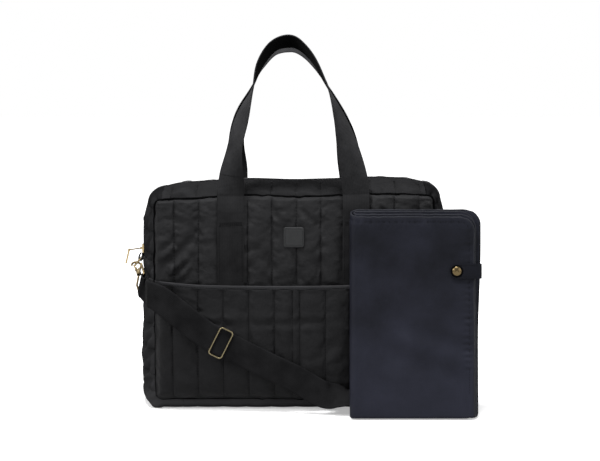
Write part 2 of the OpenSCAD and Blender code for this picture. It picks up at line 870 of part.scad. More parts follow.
module mat_tab_flap() {
    color(navy)
        on_mat()
            translate([tab_x - mat_tab_reach, tab_y, mat_tab_z - mat_tab_h / 2])
                cube([mat_tab_reach - 0.2, tab_t, mat_tab_h]);
}

module on_snap() {
    on_mat()
        translate([snap_x, tab_y, mat_tab_z])
            rotate([90, 0, 0])
                children();
}

module snap_cap() {
    dome_r = (snap_d * snap_d / 4 + 4) / 4;
    color(brass)
        on_snap()
            translate([0, 0, seat / 3])
                intersection() {
                    translate([0, 0, 2 - dome_r])
                        sphere(r = dome_r);
                    cylinder(h = 4, r = snap_d / 2);
                }
}

module snap_socket() {
    color(brass)
        on_snap()
            translate([0, 0, -tab_t - 0.9])
                difference() {
                    cylinder(h = 0.8, r = snap_d / 2 - 1.5);
                    translate([0, 0, -1])
                        cylinder(h = 3, r = 1.6 + play);
                }
}

module snap_stud() {
    color(brass)
        on_snap()
            translate([0, 0, -tab_t - tab_gap + seat / 3])
                cylinder(h = 0.9, r = 1.6);
}

front_panel();
back_panel();
bottom_gusset();
left_side_gusset();
right_side_gusset();
left_front_strip();
left_back_strip();
right_front_strip();
right_back_strip();
front_flap();
back_flap();
lining();
pocket_panel();
pocket_binding();
badge();
front_zip_half();
back_zip_half();
left_zip_run();
right_zip_run();
zip_slider();
zip_link();
zip_pull();
front_handle();
back_handle();
front_handle_legs();
back_handle_legs();
left_ring_tab();
right_ring_tab();
left_d_ring();
right_d_ring();
left_hook_eye();
right_hook_eye();
left_hook_body();
right_hook_body();
left_hook_gate();
right_hook_gate();
strap_webbing();
strap_adjuster();
mat_sheet();
mat_tab_root();
mat_tab_flap();
snap_cap();
snap_socket();
snap_stud();
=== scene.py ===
"""Dressed scene: a quilted baby changing bag with a folded changing mat leaning on its front."""
import math

import bpy
import numpy as np
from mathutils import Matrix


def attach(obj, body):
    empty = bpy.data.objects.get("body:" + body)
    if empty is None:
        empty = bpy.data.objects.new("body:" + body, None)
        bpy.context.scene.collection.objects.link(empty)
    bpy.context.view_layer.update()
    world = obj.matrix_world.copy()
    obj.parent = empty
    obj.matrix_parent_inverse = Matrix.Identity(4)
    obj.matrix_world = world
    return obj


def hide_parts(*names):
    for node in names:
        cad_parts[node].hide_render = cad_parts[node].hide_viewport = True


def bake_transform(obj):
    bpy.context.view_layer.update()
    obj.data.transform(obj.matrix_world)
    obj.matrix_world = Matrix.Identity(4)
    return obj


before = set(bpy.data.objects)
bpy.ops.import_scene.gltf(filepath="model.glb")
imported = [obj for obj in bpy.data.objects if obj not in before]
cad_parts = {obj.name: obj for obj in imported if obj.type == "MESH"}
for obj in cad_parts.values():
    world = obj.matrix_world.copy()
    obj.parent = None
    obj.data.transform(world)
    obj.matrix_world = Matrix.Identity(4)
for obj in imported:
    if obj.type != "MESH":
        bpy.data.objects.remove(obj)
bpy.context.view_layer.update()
scene = bpy.context.scene
scene.view_settings.view_transform = "Standard"

MM = 0.001

# ---------------------------------------------------------------- camera, light and floor
PHOTO_W, FOCAL_PX, SENSOR_MM = 600, 1683, 36
CAMERA_AT, CAMERA_TILT = (0.0078, -2.1859, 0.4725), 83.5
BAG_MIDDLE = (0, 0, 0.2)
FLOOR_Z = -0.0006
WHITE = (1, 1, 1)


def put_in_scene(name, data, place=(0, 0, 0)):
    obj = bpy.data.objects.new(name, data)
    obj.location = place
    scene.collection.objects.link(obj)
    return obj


camera_data = bpy.data.cameras.new("camera")
camera_data.sensor_fit = "HORIZONTAL"
camera_data.sensor_width = SENSOR_MM
camera_data.lens = SENSOR_MM * FOCAL_PX / PHOTO_W
camera_data.clip_end = 50
scene.camera = put_in_scene("camera", camera_data, CAMERA_AT)
scene.camera.rotation_euler = (math.radians(CAMERA_TILT), 0, 0)


def lamp(name, place, target, size, power):
    """Soft box that looks at a target."""
    data = bpy.data.lights.new(name, "AREA")
    data.shape = "RECTANGLE"
    data.size, data.size_y = size
    data.energy = power
    away = np.array(place, float) - np.array(target, float)
    put_in_scene(name, data, place).rotation_euler = (
        math.acos(away[2] / np.linalg.norm(away)), 0, math.atan2(away[1], away[0]) + math.pi / 2)


lamp("key_box", (-1.9, -1.4, 1.6), BAG_MIDDLE, (1.0, 1.0), 42)
lamp("side_box", (1.9, -1.3, 1.3), BAG_MIDDLE, (1.6, 1.6), 25)
lamp("top_box", (-0.1, -0.55, 2.1), BAG_MIDDLE, (0.8, 0.5), 60)
lamp("low_box", (0.25, -2.0, 0.22), (0.1, 0, 0.02), (0.9, 0.3), 1.5)


class Nodes:
    """Small helper that builds a material or world node tree. Colours are tuples of three."""

    def __init__(self, owner):
        owner.use_nodes = True
        self.tree = owner.node_tree

    def add(self, kind, settings=None, **inputs):
        made = self.tree.nodes.new("ShaderNode" + kind)
        for key, value in (settings or {}).items():
            setattr(made, key, value)
        for key, value in inputs.items():
            self.put(made, key.replace("_", " "), value)
        return made

    def put(self, made, key, value):
        numbered = key[0] == "i" and key[1:].isdigit()
        socket = made.inputs[int(key[1:]) if numbered else key]
        if isinstance(value, bpy.types.NodeSocket):
            self.tree.links.new(value, socket)
        else:
            socket.default_value = (*value, 1.0) if isinstance(value, tuple) else value

    def math(self, operation, a, b=0.0):
        return self.add("Math", {"operation": operation}, i0=a, i1=b).outputs[0]

    def plus(self, a, b, share):
        return self.math("ADD", a, self.math("MULTIPLY", b, share))

    def wave(self, a, period):
        return self.math("SINE", self.math("MULTIPLY", a, 2 * math.pi / period))

    def mix(self, factor, a, b):
        return self.add("Mix", {"data_type": "RGBA"}, i0=factor, i6=a, i7=b).outputs[2]

    def ramp(self, value, start, end, low=0.0, high=1.0):
        return self.add("MapRange", i0=value, i1=start, i2=end, i3=low, i4=high).outputs[0]

    def place(self):
        return self.add("TexCoord").outputs["Object"]

    def split(self, vector):
        return self.add("SeparateXYZ", Vector=vector).outputs

    def patches(self, scale, detail, roughness=0.5, distortion=0.0):
        return self.add("TexNoise", Vector=self.place(), Scale=scale, Detail=detail,
                        Roughness=roughness, Distortion=distortion).outputs[0]

    def bump(self, strength, distance, height):
        return self.add("Bump", Strength=strength, Distance=distance, Height=height)


def seen_directly(n):
    """1 for rays that show the surroundings to the camera, straight or through gloss and glass."""
    path = n.add("LightPath").outputs
    mirrored_too = n.math("MAXIMUM", path["Is Camera Ray"], path["Is Glossy Ray"])
    return n.math("MAXIMUM", mirrored_too, path["Is Transmission Ray"])


def make_world():
    world = bpy.data.worlds.new("studio")
    n = Nodes(world)
    n.tree.nodes.clear()
    light = n.add("Background", Color=WHITE, Strength=0.16)
    white = n.add("Background", Color=WHITE, Strength=1.0)
    both = n.add("MixShader", i0=seen_directly(n), i1=light.outputs[0], i2=white.outputs[0])
    n.add("OutputWorld", Surface=both.outputs[0])
    scene.world = world


def make_floor():
    mesh = bpy.data.meshes.new("floor")
    mesh.from_pydata([(-6, -4, 0), (6, -4, 0), (6, 8, 0), (-6, 8, 0)], [], [(0, 1, 2, 3)])
    made = bpy.data.materials.new("floor_white")
    n = Nodes(made)
    n.tree.nodes.clear()
    seen = seen_directly(n)
    pale = n.add("BsdfDiffuse", Color=n.mix(seen, (0.3, 0.3, 0.3), (0.9, 0.9, 0.9)))
    # The floor goes over into the white background away from the object
    away = n.add("VectorMath", {"operation": "LENGTH"}, i0=n.place()).outputs["Value"]
    far = n.ramp(away, 0.3, 0.7, 0.4, 1.05)
    glow = n.add("Emission", Color=WHITE, Strength=n.math("MULTIPLY", far, seen))
    both = n.add("AddShader", i0=pale.outputs[0], i1=glow.outputs[0])
    n.add("OutputMaterial", Surface=both.outputs[0])
    mesh.materials.append(made)
    put_in_scene("floor", mesh, (0, 0, FLOOR_Z))


make_world()
make_floor()


# ---------------------------------------------------------------- materials
def start_material(name):
    made = bpy.data.materials.new(name)
    return made, Nodes(made)


def end_material(made, n, colour, rough, relief=None, **values):
    """Fills in the shader that a new material comes with."""
    values.update(Base_Color=colour, Roughness=rough)
    if relief is not None:
        values["Normal"] = relief.outputs[0]
    for key, value in values.items():
        n.put(n.tree.nodes["Principled BSDF"], key.replace("_", " "), value)
    return made


def cloth_material(name, dark, light, roughness, period, axes, specular, bump, crinkle=0.0,
                   blotch=28.0, paler_foot=0.0, foot=(0.20, 0.01), mottle=0.8):
    """Woven cloth with a weave in relief, soft crinkles, colour patches and fine grain.

    The weave has one thread family along each of two axes. The tone rises by paler_foot between
    the two heights of foot.
    """
    made, n = start_material(name)
    patches = n.patches(blotch, 4.0, 0.6)
    fine = n.patches(900.0, 2.0, 0.7)
    xyz = n.split(n.place())
    weave = n.math("MULTIPLY", *(n.wave(xyz[axis], period) for axis in axes))
    tone = n.math("ADD", n.math("MULTIPLY", patches, mottle), 0.4 - mottle / 2)
    tone = n.plus(n.plus(tone, fine, 0.35), weave, 0.12)
    if paler_foot:
        tone = n.math("ADD", tone, n.ramp(xyz[2], *foot, 0.0, paler_foot))
    colour = n.mix(n.ramp(tone, 0.25, 0.95 + paler_foot), dark, light)
    rough = n.ramp(patches, 0.3, 0.7, roughness - 0.06, roughness + 0.08)
    relief = n.bump(bump, 0.0003, n.plus(n.math("MULTIPLY", weave, 0.5), fine, 0.6))
    if crinkle:
        creased = n.patches(130.0, 3.0, 0.55, 0.8)
        n.put(relief, "Normal", n.bump(crinkle, 0.001, creased).outputs[0])
    return end_material(made, n, colour, rough, relief, Specular_IOR_Level=specular)


def webbing_material(name, loop=False):
    """Ribbed nylon webbing: rows across the band and a herringbone lean.

    On the handles' loops, above the sewn legs, the outer face is painted paler as a painted sheen
    highlight and the inner face near black as painted shade.
    """
    made, n = start_material(name)
    across, along = n.split(n.add("UVMap", {"uv_map": "band"}).outputs[0])[:2]
    lean = n.math("ABSOLUTE", n.wave(across, 0.0084))
    rows = n.plus(n.math("MULTIPLY", along, 2 * math.pi / 0.0016), lean, 2.4)
    ribs = n.math("MULTIPLY", n.math("SINE", rows), 0.6)
    height = n.plus(ribs, n.wave(across, 0.0021), 0.4)
    worn = n.ramp(n.plus(n.patches(45.0, 4.0, 0.6), height, 0.16), 0.2, 0.85)
    if loop:
        sewn = n.mix(worn, (0.008, 0.008, 0.0084), (0.0185, 0.0185, 0.0194))
        # Painted light on the loops: pale is a painted sheen highlight on the outer face, the
        # near-black tone is painted shade on the inner face
        pale = n.mix(worn, (0.016, 0.016, 0.0168), (0.039, 0.039, 0.041))
        painted_shade = n.mix(worn, (0.0022, 0.0022, 0.0023), (0.005, 0.005, 0.0052))
        face = n.mix(n.ramp(across, 0.0355, 0.0372), pale, painted_shade)
        # From 0.25 m to 0.35 m up, the sewn tone gives way to this painted light
        colour = n.mix(n.ramp(n.split(n.place())[2], 0.25, 0.35), sewn, face)
    else:
        colour = n.mix(worn, (0.007, 0.007, 0.0074), (0.0165, 0.0165, 0.0174))
    rough = n.ramp(height, -1.0, 1.0, 0.62, 0.46)
    return end_material(made, n, colour, rough, n.bump(0.3, 0.0003, height),
                        Specular_IOR_Level=0.0, Sheen_Weight=0.03, Sheen_Roughness=0.35)


def metal_material(name, dark, light, edge_tone):
    """Light gold plate with fine scratches and darker, rubbed hollows."""
    made, n = start_material(name)
    patches = n.patches(260.0, 5.0, 0.65)
    edge = n.ramp(n.add("NewGeometry").outputs["Pointiness"], 0.46, 0.56)
    colour = n.mix(n.math("MULTIPLY", edge, 0.5), n.mix(patches, dark, light), edge_tone)
    relief = n.bump(0.12, 0.0002, n.patches(2600.0, 2.0))
    return end_material(made, n, colour, n.ramp(patches, 0.3, 0.7, 0.2, 0.38), relief, Metallic=1.0)


def leather_material():
    """Grained patch, left bare."""
    made, n = start_material("badge_grain")
    cells = n.add("TexVoronoi", {"feature": "DISTANCE_TO_EDGE"}, Vector=n.place(), Scale=1300.0)
    patches = n.patches(120.0, 3.0)
    grain = n.ramp(cells.outputs[0], 0.0, 0.25)
    tone = n.math("MULTIPLY", grain, n.math("ADD", patches, 0.4))
    colour = n.mix(tone, (0.009, 0.009, 0.0098), (0.022, 0.023, 0.0238))
    return end_material(made, n, colour, n.ramp(patches, 0.3, 0.7, 0.42, 0.56),
                        n.bump(0.35, 0.0003, grain), Specular_IOR_Level=0.16)


def coil_material():
    """Moulded nylon of the zip's coil."""
    made, n = start_material("zip_nylon")
    patches = n.patches(300.0, 3.0)
    colour = n.mix(patches, (0.008, 0.008, 0.009), (0.02, 0.02, 0.022))
    return end_material(made, n, colour, n.ramp(patches, 0.3, 0.7, 0.3, 0.45), Specular_IOR_Level=0.4)


# The axes that a cloth's threads follow: on upright, level and sideways faces
UPRIGHT, LEVEL, SIDEWAYS = (0, 2), (0, 1), (1, 2)
NYLON = cloth_material("quilted_nylon", (0.0095, 0.0095, 0.0100), (0.022, 0.022, 0.0231),
                       0.46, 0.0011, UPRIGHT, 0.03, 0.35, 0.9)
NYLON_POCKET = cloth_material("pocket_nylon", (0.0085, 0.0085, 0.0090), (0.0185, 0.0185, 0.0195),
                              0.46, 0.0011, UPRIGHT, 0.03, 0.35, 0.7)
NYLON_TOP = cloth_material("top_nylon", (0.0100, 0.0100, 0.0105), (0.0205, 0.0205, 0.0215),
                           0.6, 0.0011, LEVEL, 0.0, 0.35, 0.7)
# Painted light: the side and bottom gussets take a paler copy of the nylon, painted paler still at
# their foot, where the bottom curves to the floor
NYLON_SIDE_PAINTED_LIGHT = cloth_material("side_nylon_painted_light", (0.024, 0.024, 0.0252), (0.062, 0.062, 0.0651),
                            0.55, 0.0011, SIDEWAYS, 0.0, 0.35, 0.7,
                            paler_foot=1.4, foot=(0.019, 0.007))
NYLON_STRIP = cloth_material("strip_nylon", (0.0050, 0.0050, 0.0053), (0.0235, 0.0235, 0.0247),
                             0.55, 0.0011, SIDEWAYS, 0.0, 0.35, 0.7,
                             paler_foot=1.4, foot=(0.280, 0.240))
# Near-black cloth: painted shade for the tube in the seams' creases, and the snap's own dark collar
SEAM_SHADE_AND_COLLAR = cloth_material("seam_shade_and_collar", (0.0015, 0.0015, 0.0016), (0.004, 0.004, 0.0042),
                      0.7, 0.0014, UPRIGHT, 0.0, 0.5)
BINDING = cloth_material("edge_binding", (0.010, 0.010, 0.011), (0.022, 0.022, 0.024),
                         0.5, 0.0012, UPRIGHT, 0.1, 0.4)
TAPE = cloth_material("zip_tape", (0.006, 0.006, 0.0065), (0.014, 0.014, 0.015),
                      0.65, 0.0014, LEVEL, 0.02, 0.5)
LINING = cloth_material("lining_cloth", (0.07, 0.074, 0.082), (0.13, 0.136, 0.148),
                        0.6, 0.0009, UPRIGHT, 0.2, 0.3)
MAT_EDGE = cloth_material("mat_edge", (0.010, 0.0105, 0.0135), (0.022, 0.023, 0.029),
                          0.4, 0.0010, UPRIGHT, 0.05, 0.25)
MAT_TAB = cloth_material("mat_tab_cloth", (0.0028, 0.0030, 0.0042), (0.0072, 0.0078, 0.0115),
                         0.4, 0.0010, UPRIGHT, 0.05, 0.25, 0.15)
# Painted light: the mat's tone rises toward its foot, standing in for light from the floor in front
MAT = cloth_material("mat_cloth_painted_light", (0.0055, 0.0059, 0.0080), (0.0195, 0.0206, 0.0306),
                     0.4, 0.0010, UPRIGHT, 0.05, 0.25, 0.15, blotch=13.0, paler_foot=0.55, mottle=1.9)
THREAD = cloth_material("thread", (0.0022, 0.0022, 0.0024), (0.006, 0.006, 0.0064),
                        0.5, 0.0006, UPRIGHT, 0.02, 0.3)
WEBBING = webbing_material("webbing")
LOOP_WEBBING_PAINTED_LIGHT = webbing_material("loop_webbing_painted_light", loop=True)
BRASS = metal_material("brass", (0.045, 0.032, 0.016), (0.20, 0.145, 0.07), (0.42, 0.33, 0.18))
DULL_BRASS = metal_material("dull_brass", (0.020, 0.014, 0.007), (0.065, 0.047, 0.022),
                            (0.16, 0.12, 0.06))
PALE_BRASS = metal_material("pale_brass", (0.032, 0.026, 0.015), (0.105, 0.086, 0.050),
                            (0.20, 0.17, 0.10))
LEATHER = leather_material()
COIL = coil_material()


# ---------------------------------------------------------------- mesh making
def unit(v):
    return v / np.maximum(np.linalg.norm(v, axis=-1, keepdims=True), 1e-12)


def ease(t):
    t = np.clip(t, 0, 1)
    return t * t * (3 - 2 * t)


def bell(x, width):
    return np.exp(-(x / width) ** 2)


def stack(*columns):
    """Points from their coordinates, any of which may be one number for all."""
    return np.stack(np.broadcast_arrays(*columns), -1)


def run_along(path):
    """Length of the way along a path to each of its points."""
    return np.concatenate([[0], np.cumsum(np.linalg.norm(np.diff(path, axis=0), axis=1))])


def pick_at(at, run, what):
    """Values at given lengths along a path."""
    return np.stack([np.interp(at, run, column) for column in what.T], -1)


def slope_of(line):
    return unit(np.gradient(line, axis=0))


def ring_slope(line):
    return unit(np.roll(line, -1, 0) - np.roll(line, 1, 0))


def everywhere(v, line):
    """The same direction at every point of a line."""
    return np.broadcast_to(np.array(v, float), line.shape)


def round_corners(half_x, half_y, r, steps):
    """Points round the corners of a rectangle, counter-clockwise."""
    path = []
    for cx, cy, start in ((1, 1, 0), (-1, 1, 90), (-1, -1, 180), (1, -1, 270)):
        a = np.radians(start + np.linspace(0, 90, steps))
        path.append(stack(cx * (half_x - r) + r * np.cos(a), cy * (half_y - r) + r * np.sin(a)))
    return np.concatenate(path)


def rounded_ring(half_x, half_y, r, count, steps=7):
    """Evenly spaced points round a rectangle with round corners."""
    path = round_corners(half_x, half_y, r, steps)
    path = np.concatenate([path, path[:1]])
    run = run_along(path)
    return pick_at(np.linspace(0, run[-1], count, endpoint=False), run, path)


def volume(points, faces):
    a = points[faces[:, 0]]
    total = 0.0
    for k in range(1, faces.shape[1] - 1):
        total += np.einsum("ij,ij->i", a, np.cross(points[faces[:, k]], points[faces[:, k + 1]])).sum()
    return total / 6


def make_piece(name, points, groups, material, slot, uv=None, sharp=50):
    """Object from points in millimetres and groups of faces, each group an array of equal faces."""
    points = np.asarray(points, float)
    if sum(volume(points, g) for g in groups) < 0:
        groups = [g[:, ::-1] for g in groups]
        uv = [u[:, ::-1] for u in uv] if uv is not None else None
    mesh = bpy.data.meshes.new(name)
    faces = [tuple(f) for g in groups for f in g.tolist()]
    mesh.from_pydata((points * MM).tolist(), [], faces)
    mesh.polygons.foreach_set("use_smooth", np.ones(len(faces), bool))
    if uv is not None:
        layer = mesh.uv_layers.new(name="band")
        flat = np.concatenate([u.reshape(-1, 2) for u in uv]) * MM
        layer.data.foreach_set("uv", flat.astype(np.float32).ravel())
    mesh.update()
    mesh.set_sharp_from_angle(angle=math.radians(sharp))
    mesh.materials.append(material)
    piece = put_in_scene(name, mesh)
    return piece


def carry(piece, body, *nodes):
    """The piece rides a body and takes the place of nodes of the frame."""
    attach(piece, body)
    if nodes:
        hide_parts(*nodes)


def grid_faces(n, m):
    index = np.arange(n * m).reshape(n, m)
    return np.stack([index[:-1, :-1], index[1:, :-1], index[1:, 1:], index[:-1, 1:]], -1).reshape(-1, 4)


def rim_loop(n, m):
    index = np.arange(n * m).reshape(n, m)
    return np.concatenate([index[:-1, 0], index[-1, :-1], index[:0:-1, -1], index[0, :0:-1]])


def sheet_parts(outer, inner):
    """Points and faces of a closed sheet between two grids."""
    n, m = outer.shape[:2]
    points = np.concatenate([outer.reshape(-1, 3), inner.reshape(-1, 3)])
    top = grid_faces(n, m)
    rim = rim_loop(n, m)
    after = np.roll(rim, -1)
    side = np.stack([after, rim, rim + n * m, after + n * m], -1)
    return points, np.concatenate([top, top[:, ::-1] + n * m, side])


def sheet_piece(name, outer, inner, material, slot):
    points, faces = sheet_parts(outer, inner)
    return make_piece(name, points, [faces], material, slot, sharp=60)


def tube_quads(n, k):
    """Faces between n rings of k points."""
    i, j = np.meshgrid(np.arange(n - 1), np.arange(k), indexing="ij")
    j2 = (j + 1) % k
    return np.stack([i * k + j, i * k + j2, (i + 1) * k + j2, (i + 1) * k + j], -1).reshape(-1, 4)


def sweep_parts(centres, across, face, profile, closed=False):
    """Points, faces and band coordinates of a profile swept along a path."""
    n, k = len(centres), len(profile)
    points = centres[:, None] + across[:, None] * profile[:, :1] + face[:, None] * profile[:, 1:]
    rows = n if closed else n - 1
    i, j = np.meshgrid(np.arange(rows), np.arange(k), indexing="ij")
    i2, j2 = (i + 1) % n, (j + 1) % k
    quads = np.stack([i * k + j, i2 * k + j, i2 * k + j2, i * k + j2], -1).reshape(-1, 4)
    run = run_along(np.concatenate([centres, centres[:1]]))
    girth = run_along(np.concatenate([profile, profile[:1]]))
    corners = ((0, 0), (0, 1), (1, 1), (1, 0))
    uv = np.stack([stack(girth[j + a], run[i + b]) for a, b in corners], 2)
    groups, uvs = [quads], [uv.reshape(-1, 4, 2)]
    if not closed:
        groups.append(np.stack([np.arange(k), (n - 1) * k + np.arange(k)[::-1]]))
        uvs.append(np.zeros((2, k, 2)))
    return points.reshape(-1, 3), groups, uvs


def sweep_piece(name, centres, across, face, profile, material, slot, closed=False):
    points, groups, uvs = sweep_parts(centres, across, face, profile, closed)
    return make_piece(name, points, groups, material, slot, uvs)


def band_profile(width, thick):
    """Outline of webbing: flat faces between rounded edges."""
    r, flat = thick / 2, 10
    turn = np.radians(np.linspace(-90, 90, 7))
    right = stack(width / 2 - r + r * np.cos(turn), r * np.sin(turn))
    across = np.linspace(width / 2 - r, -width / 2 + r, flat + 1)[1:-1]
    top = stack(across, r)
    return np.concatenate([right, top, -right, -top])


def round_profile(r, sides=10):
    a = np.linspace(0, 2 * np.pi, sides, endpoint=False)
    return stack(r * np.cos(a), r * np.sin(a))


def join_parts(parts):
    """Several point and face lists as one."""
    points, faces, start = [], [], 0
    for p, f in parts:
        points.append(p)
        faces.append(f + start)
        start += len(p)
    return np.concatenate(points), np.concatenate(faces)


def copies(faces, size, count):
    """The faces of one small form, for a row of such forms of size points each."""
    return (np.array(faces)[None] + size * np.arange(count)[:, None, None]).reshape(-1, 4)


def stitch_parts(path, normal, length=2.6, pitch=3.6, r=0.32):
    """Row of thread stitches, each a small spindle, along a path in millimetres."""
    run = run_along(path)
    count = max(1, int(run[-1] / pitch))
    at = (np.arange(count) + 0.5) * run[-1] / count
    mid, up = pick_at(at, run, path), unit(pick_at(at, run, everywhere(normal, path)))
    along = unit(pick_at(at + 0.4, run, path) - pick_at(at - 0.4, run, path))
    side = unit(np.cross(along, up))
    rings = [mid - along * length / 2]
    for share in (-0.28, 0.28):
        for a in np.linspace(0, 2 * np.pi, 5, endpoint=False):
            rings.append(mid + along * length * share + r * (np.cos(a) * side + 0.8 * np.sin(a) * up))
    rings.append(mid + along * length / 2)
    faces = []
    for k in range(5):
        q = (k + 1) % 5
        faces += [(0, 1 + q, 1 + k, 0), (1 + k, 1 + q, 6 + q, 6 + k), (11, 6 + k, 6 + q, 11)]
    return np.stack(rings, 1).reshape(-1, 3), copies(faces, len(rings), count)


def stitch_piece(name, rows, slot):
    points, faces = join_parts(rows)
    tris = faces[:, 0] == faces[:, 3]
    return make_piece(name, points, [faces[~tris], faces[tris][:, :3]], THREAD, slot)


def smooth_pick(u, table):
    """Smooth curve through evenly spaced values, where u counts the values."""
    last = len(table) - 1
    k = np.clip(np.floor(u).astype(int), 0, last - 1)
    f = (u - k).reshape(u.shape + (1,) * (table.ndim - 1))
    pick = lambda i: table[np.clip(i, 0, last)]
    slope = lambda i: (pick(i + 1) - pick(i - 1)) / 2
    return (pick(k) * (1 + 2 * f) * (1 - f) ** 2 + slope(k) * f * (1 - f) ** 2
            + pick(k + 1) * f * f * (3 - 2 * f) - slope(k + 1) * f * f * (1 - f))


def noise(u, v, seed):
    """Seeded noise from -1 to 1, with about one bump to each unit."""
    table = np.random.default_rng(seed).uniform(-1, 1, (64, 64))
    i, j = np.floor(u).astype(int), np.floor(v).astype(int)
    f, g = u - i, v - j
    f, g = f * f * (3 - 2 * f), g * g * (3 - 2 * g)
    at = lambda a, b: table[a % 64, b % 64]
    row = lambda b: at(i, b) * (1 - f) + at(i + 1, b) * f
    return row(j) * (1 - g) + row(j + 1) * g


def fold(u, v, start, end, width, depth):
    """Valley along a line, with a low ridge on each side, that fades at both ends."""
    du, dv = end[0] - start[0], end[1] - start[1]
    length = math.hypot(du, dv)
    along = ((u - start[0]) * du + (v - start[1]) * dv) / length ** 2
    off = ((u - start[0]) * dv - (v - start[1]) * du) / length
    fade = ease(along / 0.3) * ease((1 - along) / 0.3)
    ridge = bell(np.abs(off) - 2.2 * width, width)
    return depth * fade * (0.55 * ridge - bell(off, width))


# ---------------------------------------------------------------- the bag's forms, in millimetres
SEAM_Y, PANEL_W, SEAM_LO, SEAM_HI, PANEL_R = 65, 354, 14, 275, 9
SEAM_MID = (SEAM_LO + SEAM_HI) / 2
TOP_HALF = PANEL_W / 2 - PANEL_R
BASE_HALF = TOP_HALF - 26
SIDE_BULGE, TOP_BULGE, BASE_RISE, CORNER_PINCH = 20, 17, 14, 0.36
RIM, CROWN, PUFF, WALL, SEAT = 2, 8, 2, 4, 0.3
ZIP_END, ZIP_HALF = 192, 9
POCKET_HI, POCKET_ROOM, POCKET_T, BINDING_H = 158.5, 6, 3, 5
LEG_X, LEG_AT = 78, {-1: -79.8, 1: 78.6}
SEAM_WAVER = 1.1
THREAD_LIFT = 0.1
ABOVE_POCKET = 166
# Heights to which the pocket, and from which the back legs, hold the panel flat
POCKET_HOLDS_TO, LEGS_HOLD_FROM = 168, 136
SIDES = ((-1, "left"), (1, "right"))
# Where the quilted lines run: their shift and their pitch
PANEL_LINES, SIDE_LINES, TOP_LINES, POCKET_LINES = (3.3, 31), (14, 31), (2.6, 31.8), (7.4, 32.3)
FRONT_SEED, BACK_SEED = 11, 31
BADGE_Z, BADGE_HALF = 224.0, 13.0

SAG_X = (-200, -177, -130, -92, -57, 0, 54, 100, 134, 177, 200)
SAG_Z = (-4.5, -4.5, -3.5, -1, 1, -1, 0.5, 2.8, 1.8, 1.5, 1)


def waver(points):
    """The front and back seams run a little unevenly."""
    points = np.array(points, float)
    x, y, z = points[..., 0], points[..., 1], points[..., 2]
    near = bell(np.abs(y) - SEAM_Y, 4.5)
    at_side = near * bell(np.abs(x) - PANEL_W / 2, 6)
    level = np.minimum(np.abs(z - SEAM_LO), np.abs(z - SEAM_HI))
    at_level = near * bell(level, 6)
    row = np.sign(y) + 2.5
    points[..., 0] = x + SEAM_WAVER * at_side * noise(z / 8, row, 93)
    points[..., 2] = z + SEAM_WAVER * at_level * noise(x / 8, row + 4, 93)
    return points


def seam_bite(along):
    """How deep the seam pulls in, along its run."""
    return np.clip(0.8 + 0.9 * noise(along / 12, 0 * along + 0.5, 97), 0.3, 1.5)


def settle(points):
    """The bag's soft top: it hangs a little lower at the left and stands higher at the right."""
    points = waver(points)
    x = points[..., 0]
    lift = sum(np.interp(x + d, SAG_X, SAG_Z) for d in (-12, -6, 0, 6, 12)) / 5
    points[..., 2] += lift * ease((points[..., 2] - 150) / 120)
    return points


def quilt(u, v, shift, pitch, seed):
    """Padding between stitched lines, as a share of its full height, puckered along the stitches."""
    cell = (u - shift) / pitch
    line = np.round(cell)
    off = np.abs(cell - line) * pitch
    hump = np.abs(np.sin(np.pi * cell)) ** 0.9
    valley = bell(off, 1.2)
    side = np.sign(cell - line)
    slant = v + 0.35 * side * off
    pucker = noise(slant / 5.2 + 7.3 * line, line * 3.1 + 0.5 * side, seed) \
        + 0.7 * noise(slant / 11 + 3.1 * line, line * 1.7 + 0.5 * side, seed + 2)
    pucker = pucker * ease(off / 2.2) * np.exp(-off / 5.5)
    slack = noise(u / 34, v / 48, seed + 1) + 0.5 * noise(u / 15, v / 26, seed + 3)
    return hump * (0.86 + 0.24 * slack) + 0.34 * pucker - 0.16 * valley


def creases(u, v, seed):
    """Sharp little valleys of thin nylon, from 0 to about 1 above them."""
    wide = np.abs(noise(u / 12 + v / 31, v / 17 - u / 40, seed))
    tight = np.abs(noise(u / 6.5 - v / 16, v / 8 + u / 21, seed + 1))
    return 0.9 * wide + 0.45 * tight


NEAR_LINE = np.array([0, 0.5, 1.0, 1.6, 2.4, 3.5, 5.0, 7.0, 9.5, 12.5])


def quilt_columns(low, high, shift, pitch):
    """Places from low to high, closest together along the stitched lines."""
    k = np.arange(math.floor((low - shift) / pitch) - 1, math.ceil((high - shift) / pitch) + 2)
    near = np.concatenate([-NEAR_LINE[:0:-1], NEAR_LINE, [pitch / 2]])
    at = (shift + k[:, None] * pitch + near[None]).ravel()
    at = at[(at > low + 0.4) & (at < high - 0.4)]
    return np.concatenate([[low], np.sort(at), [high]])


def corner_drop(x):
    """How far the round corners draw a panel's upper and lower edges in."""
    d = np.maximum(0, np.abs(x) - TOP_HALF)
    return PANEL_R - np.sqrt(np.maximum(0, PANEL_R ** 2 - d * d))


def crown(x, z):
    """How far a panel stands out in its middle."""
    level = (z - SEAM_MID) / (SEAM_HI - SEAM_MID)
    return CROWN * (1 - np.abs(2 * x / PANEL_W) ** 4) * (1 - np.abs(level) ** 4)


def panel_face(x, z):
    return SEAM_Y + RIM + crown(x, z) + PUFF


def panel_grid(z_top, shift, pitch, rows):
    rim = PANEL_W / 2 - np.array([0, 0.7, 1.5, 2.5, 3.8, 5.5])
    x = np.concatenate([-rim, quilt_columns(-rim[-1] + 1, rim[-1] - 1, shift, pitch), rim[::-1]])
    share = np.linspace(0, 1, rows)
    share = share - 0.1 * np.sin(2 * np.pi * share)
    low = SEAM_LO + corner_drop(x)
    high = z_top - corner_drop(x) if z_top == SEAM_HI else np.full(len(x), z_top)
    z = low[:, None] + (high - low)[:, None] * share[None]
    return np.repeat(x[:, None], rows, 1), z


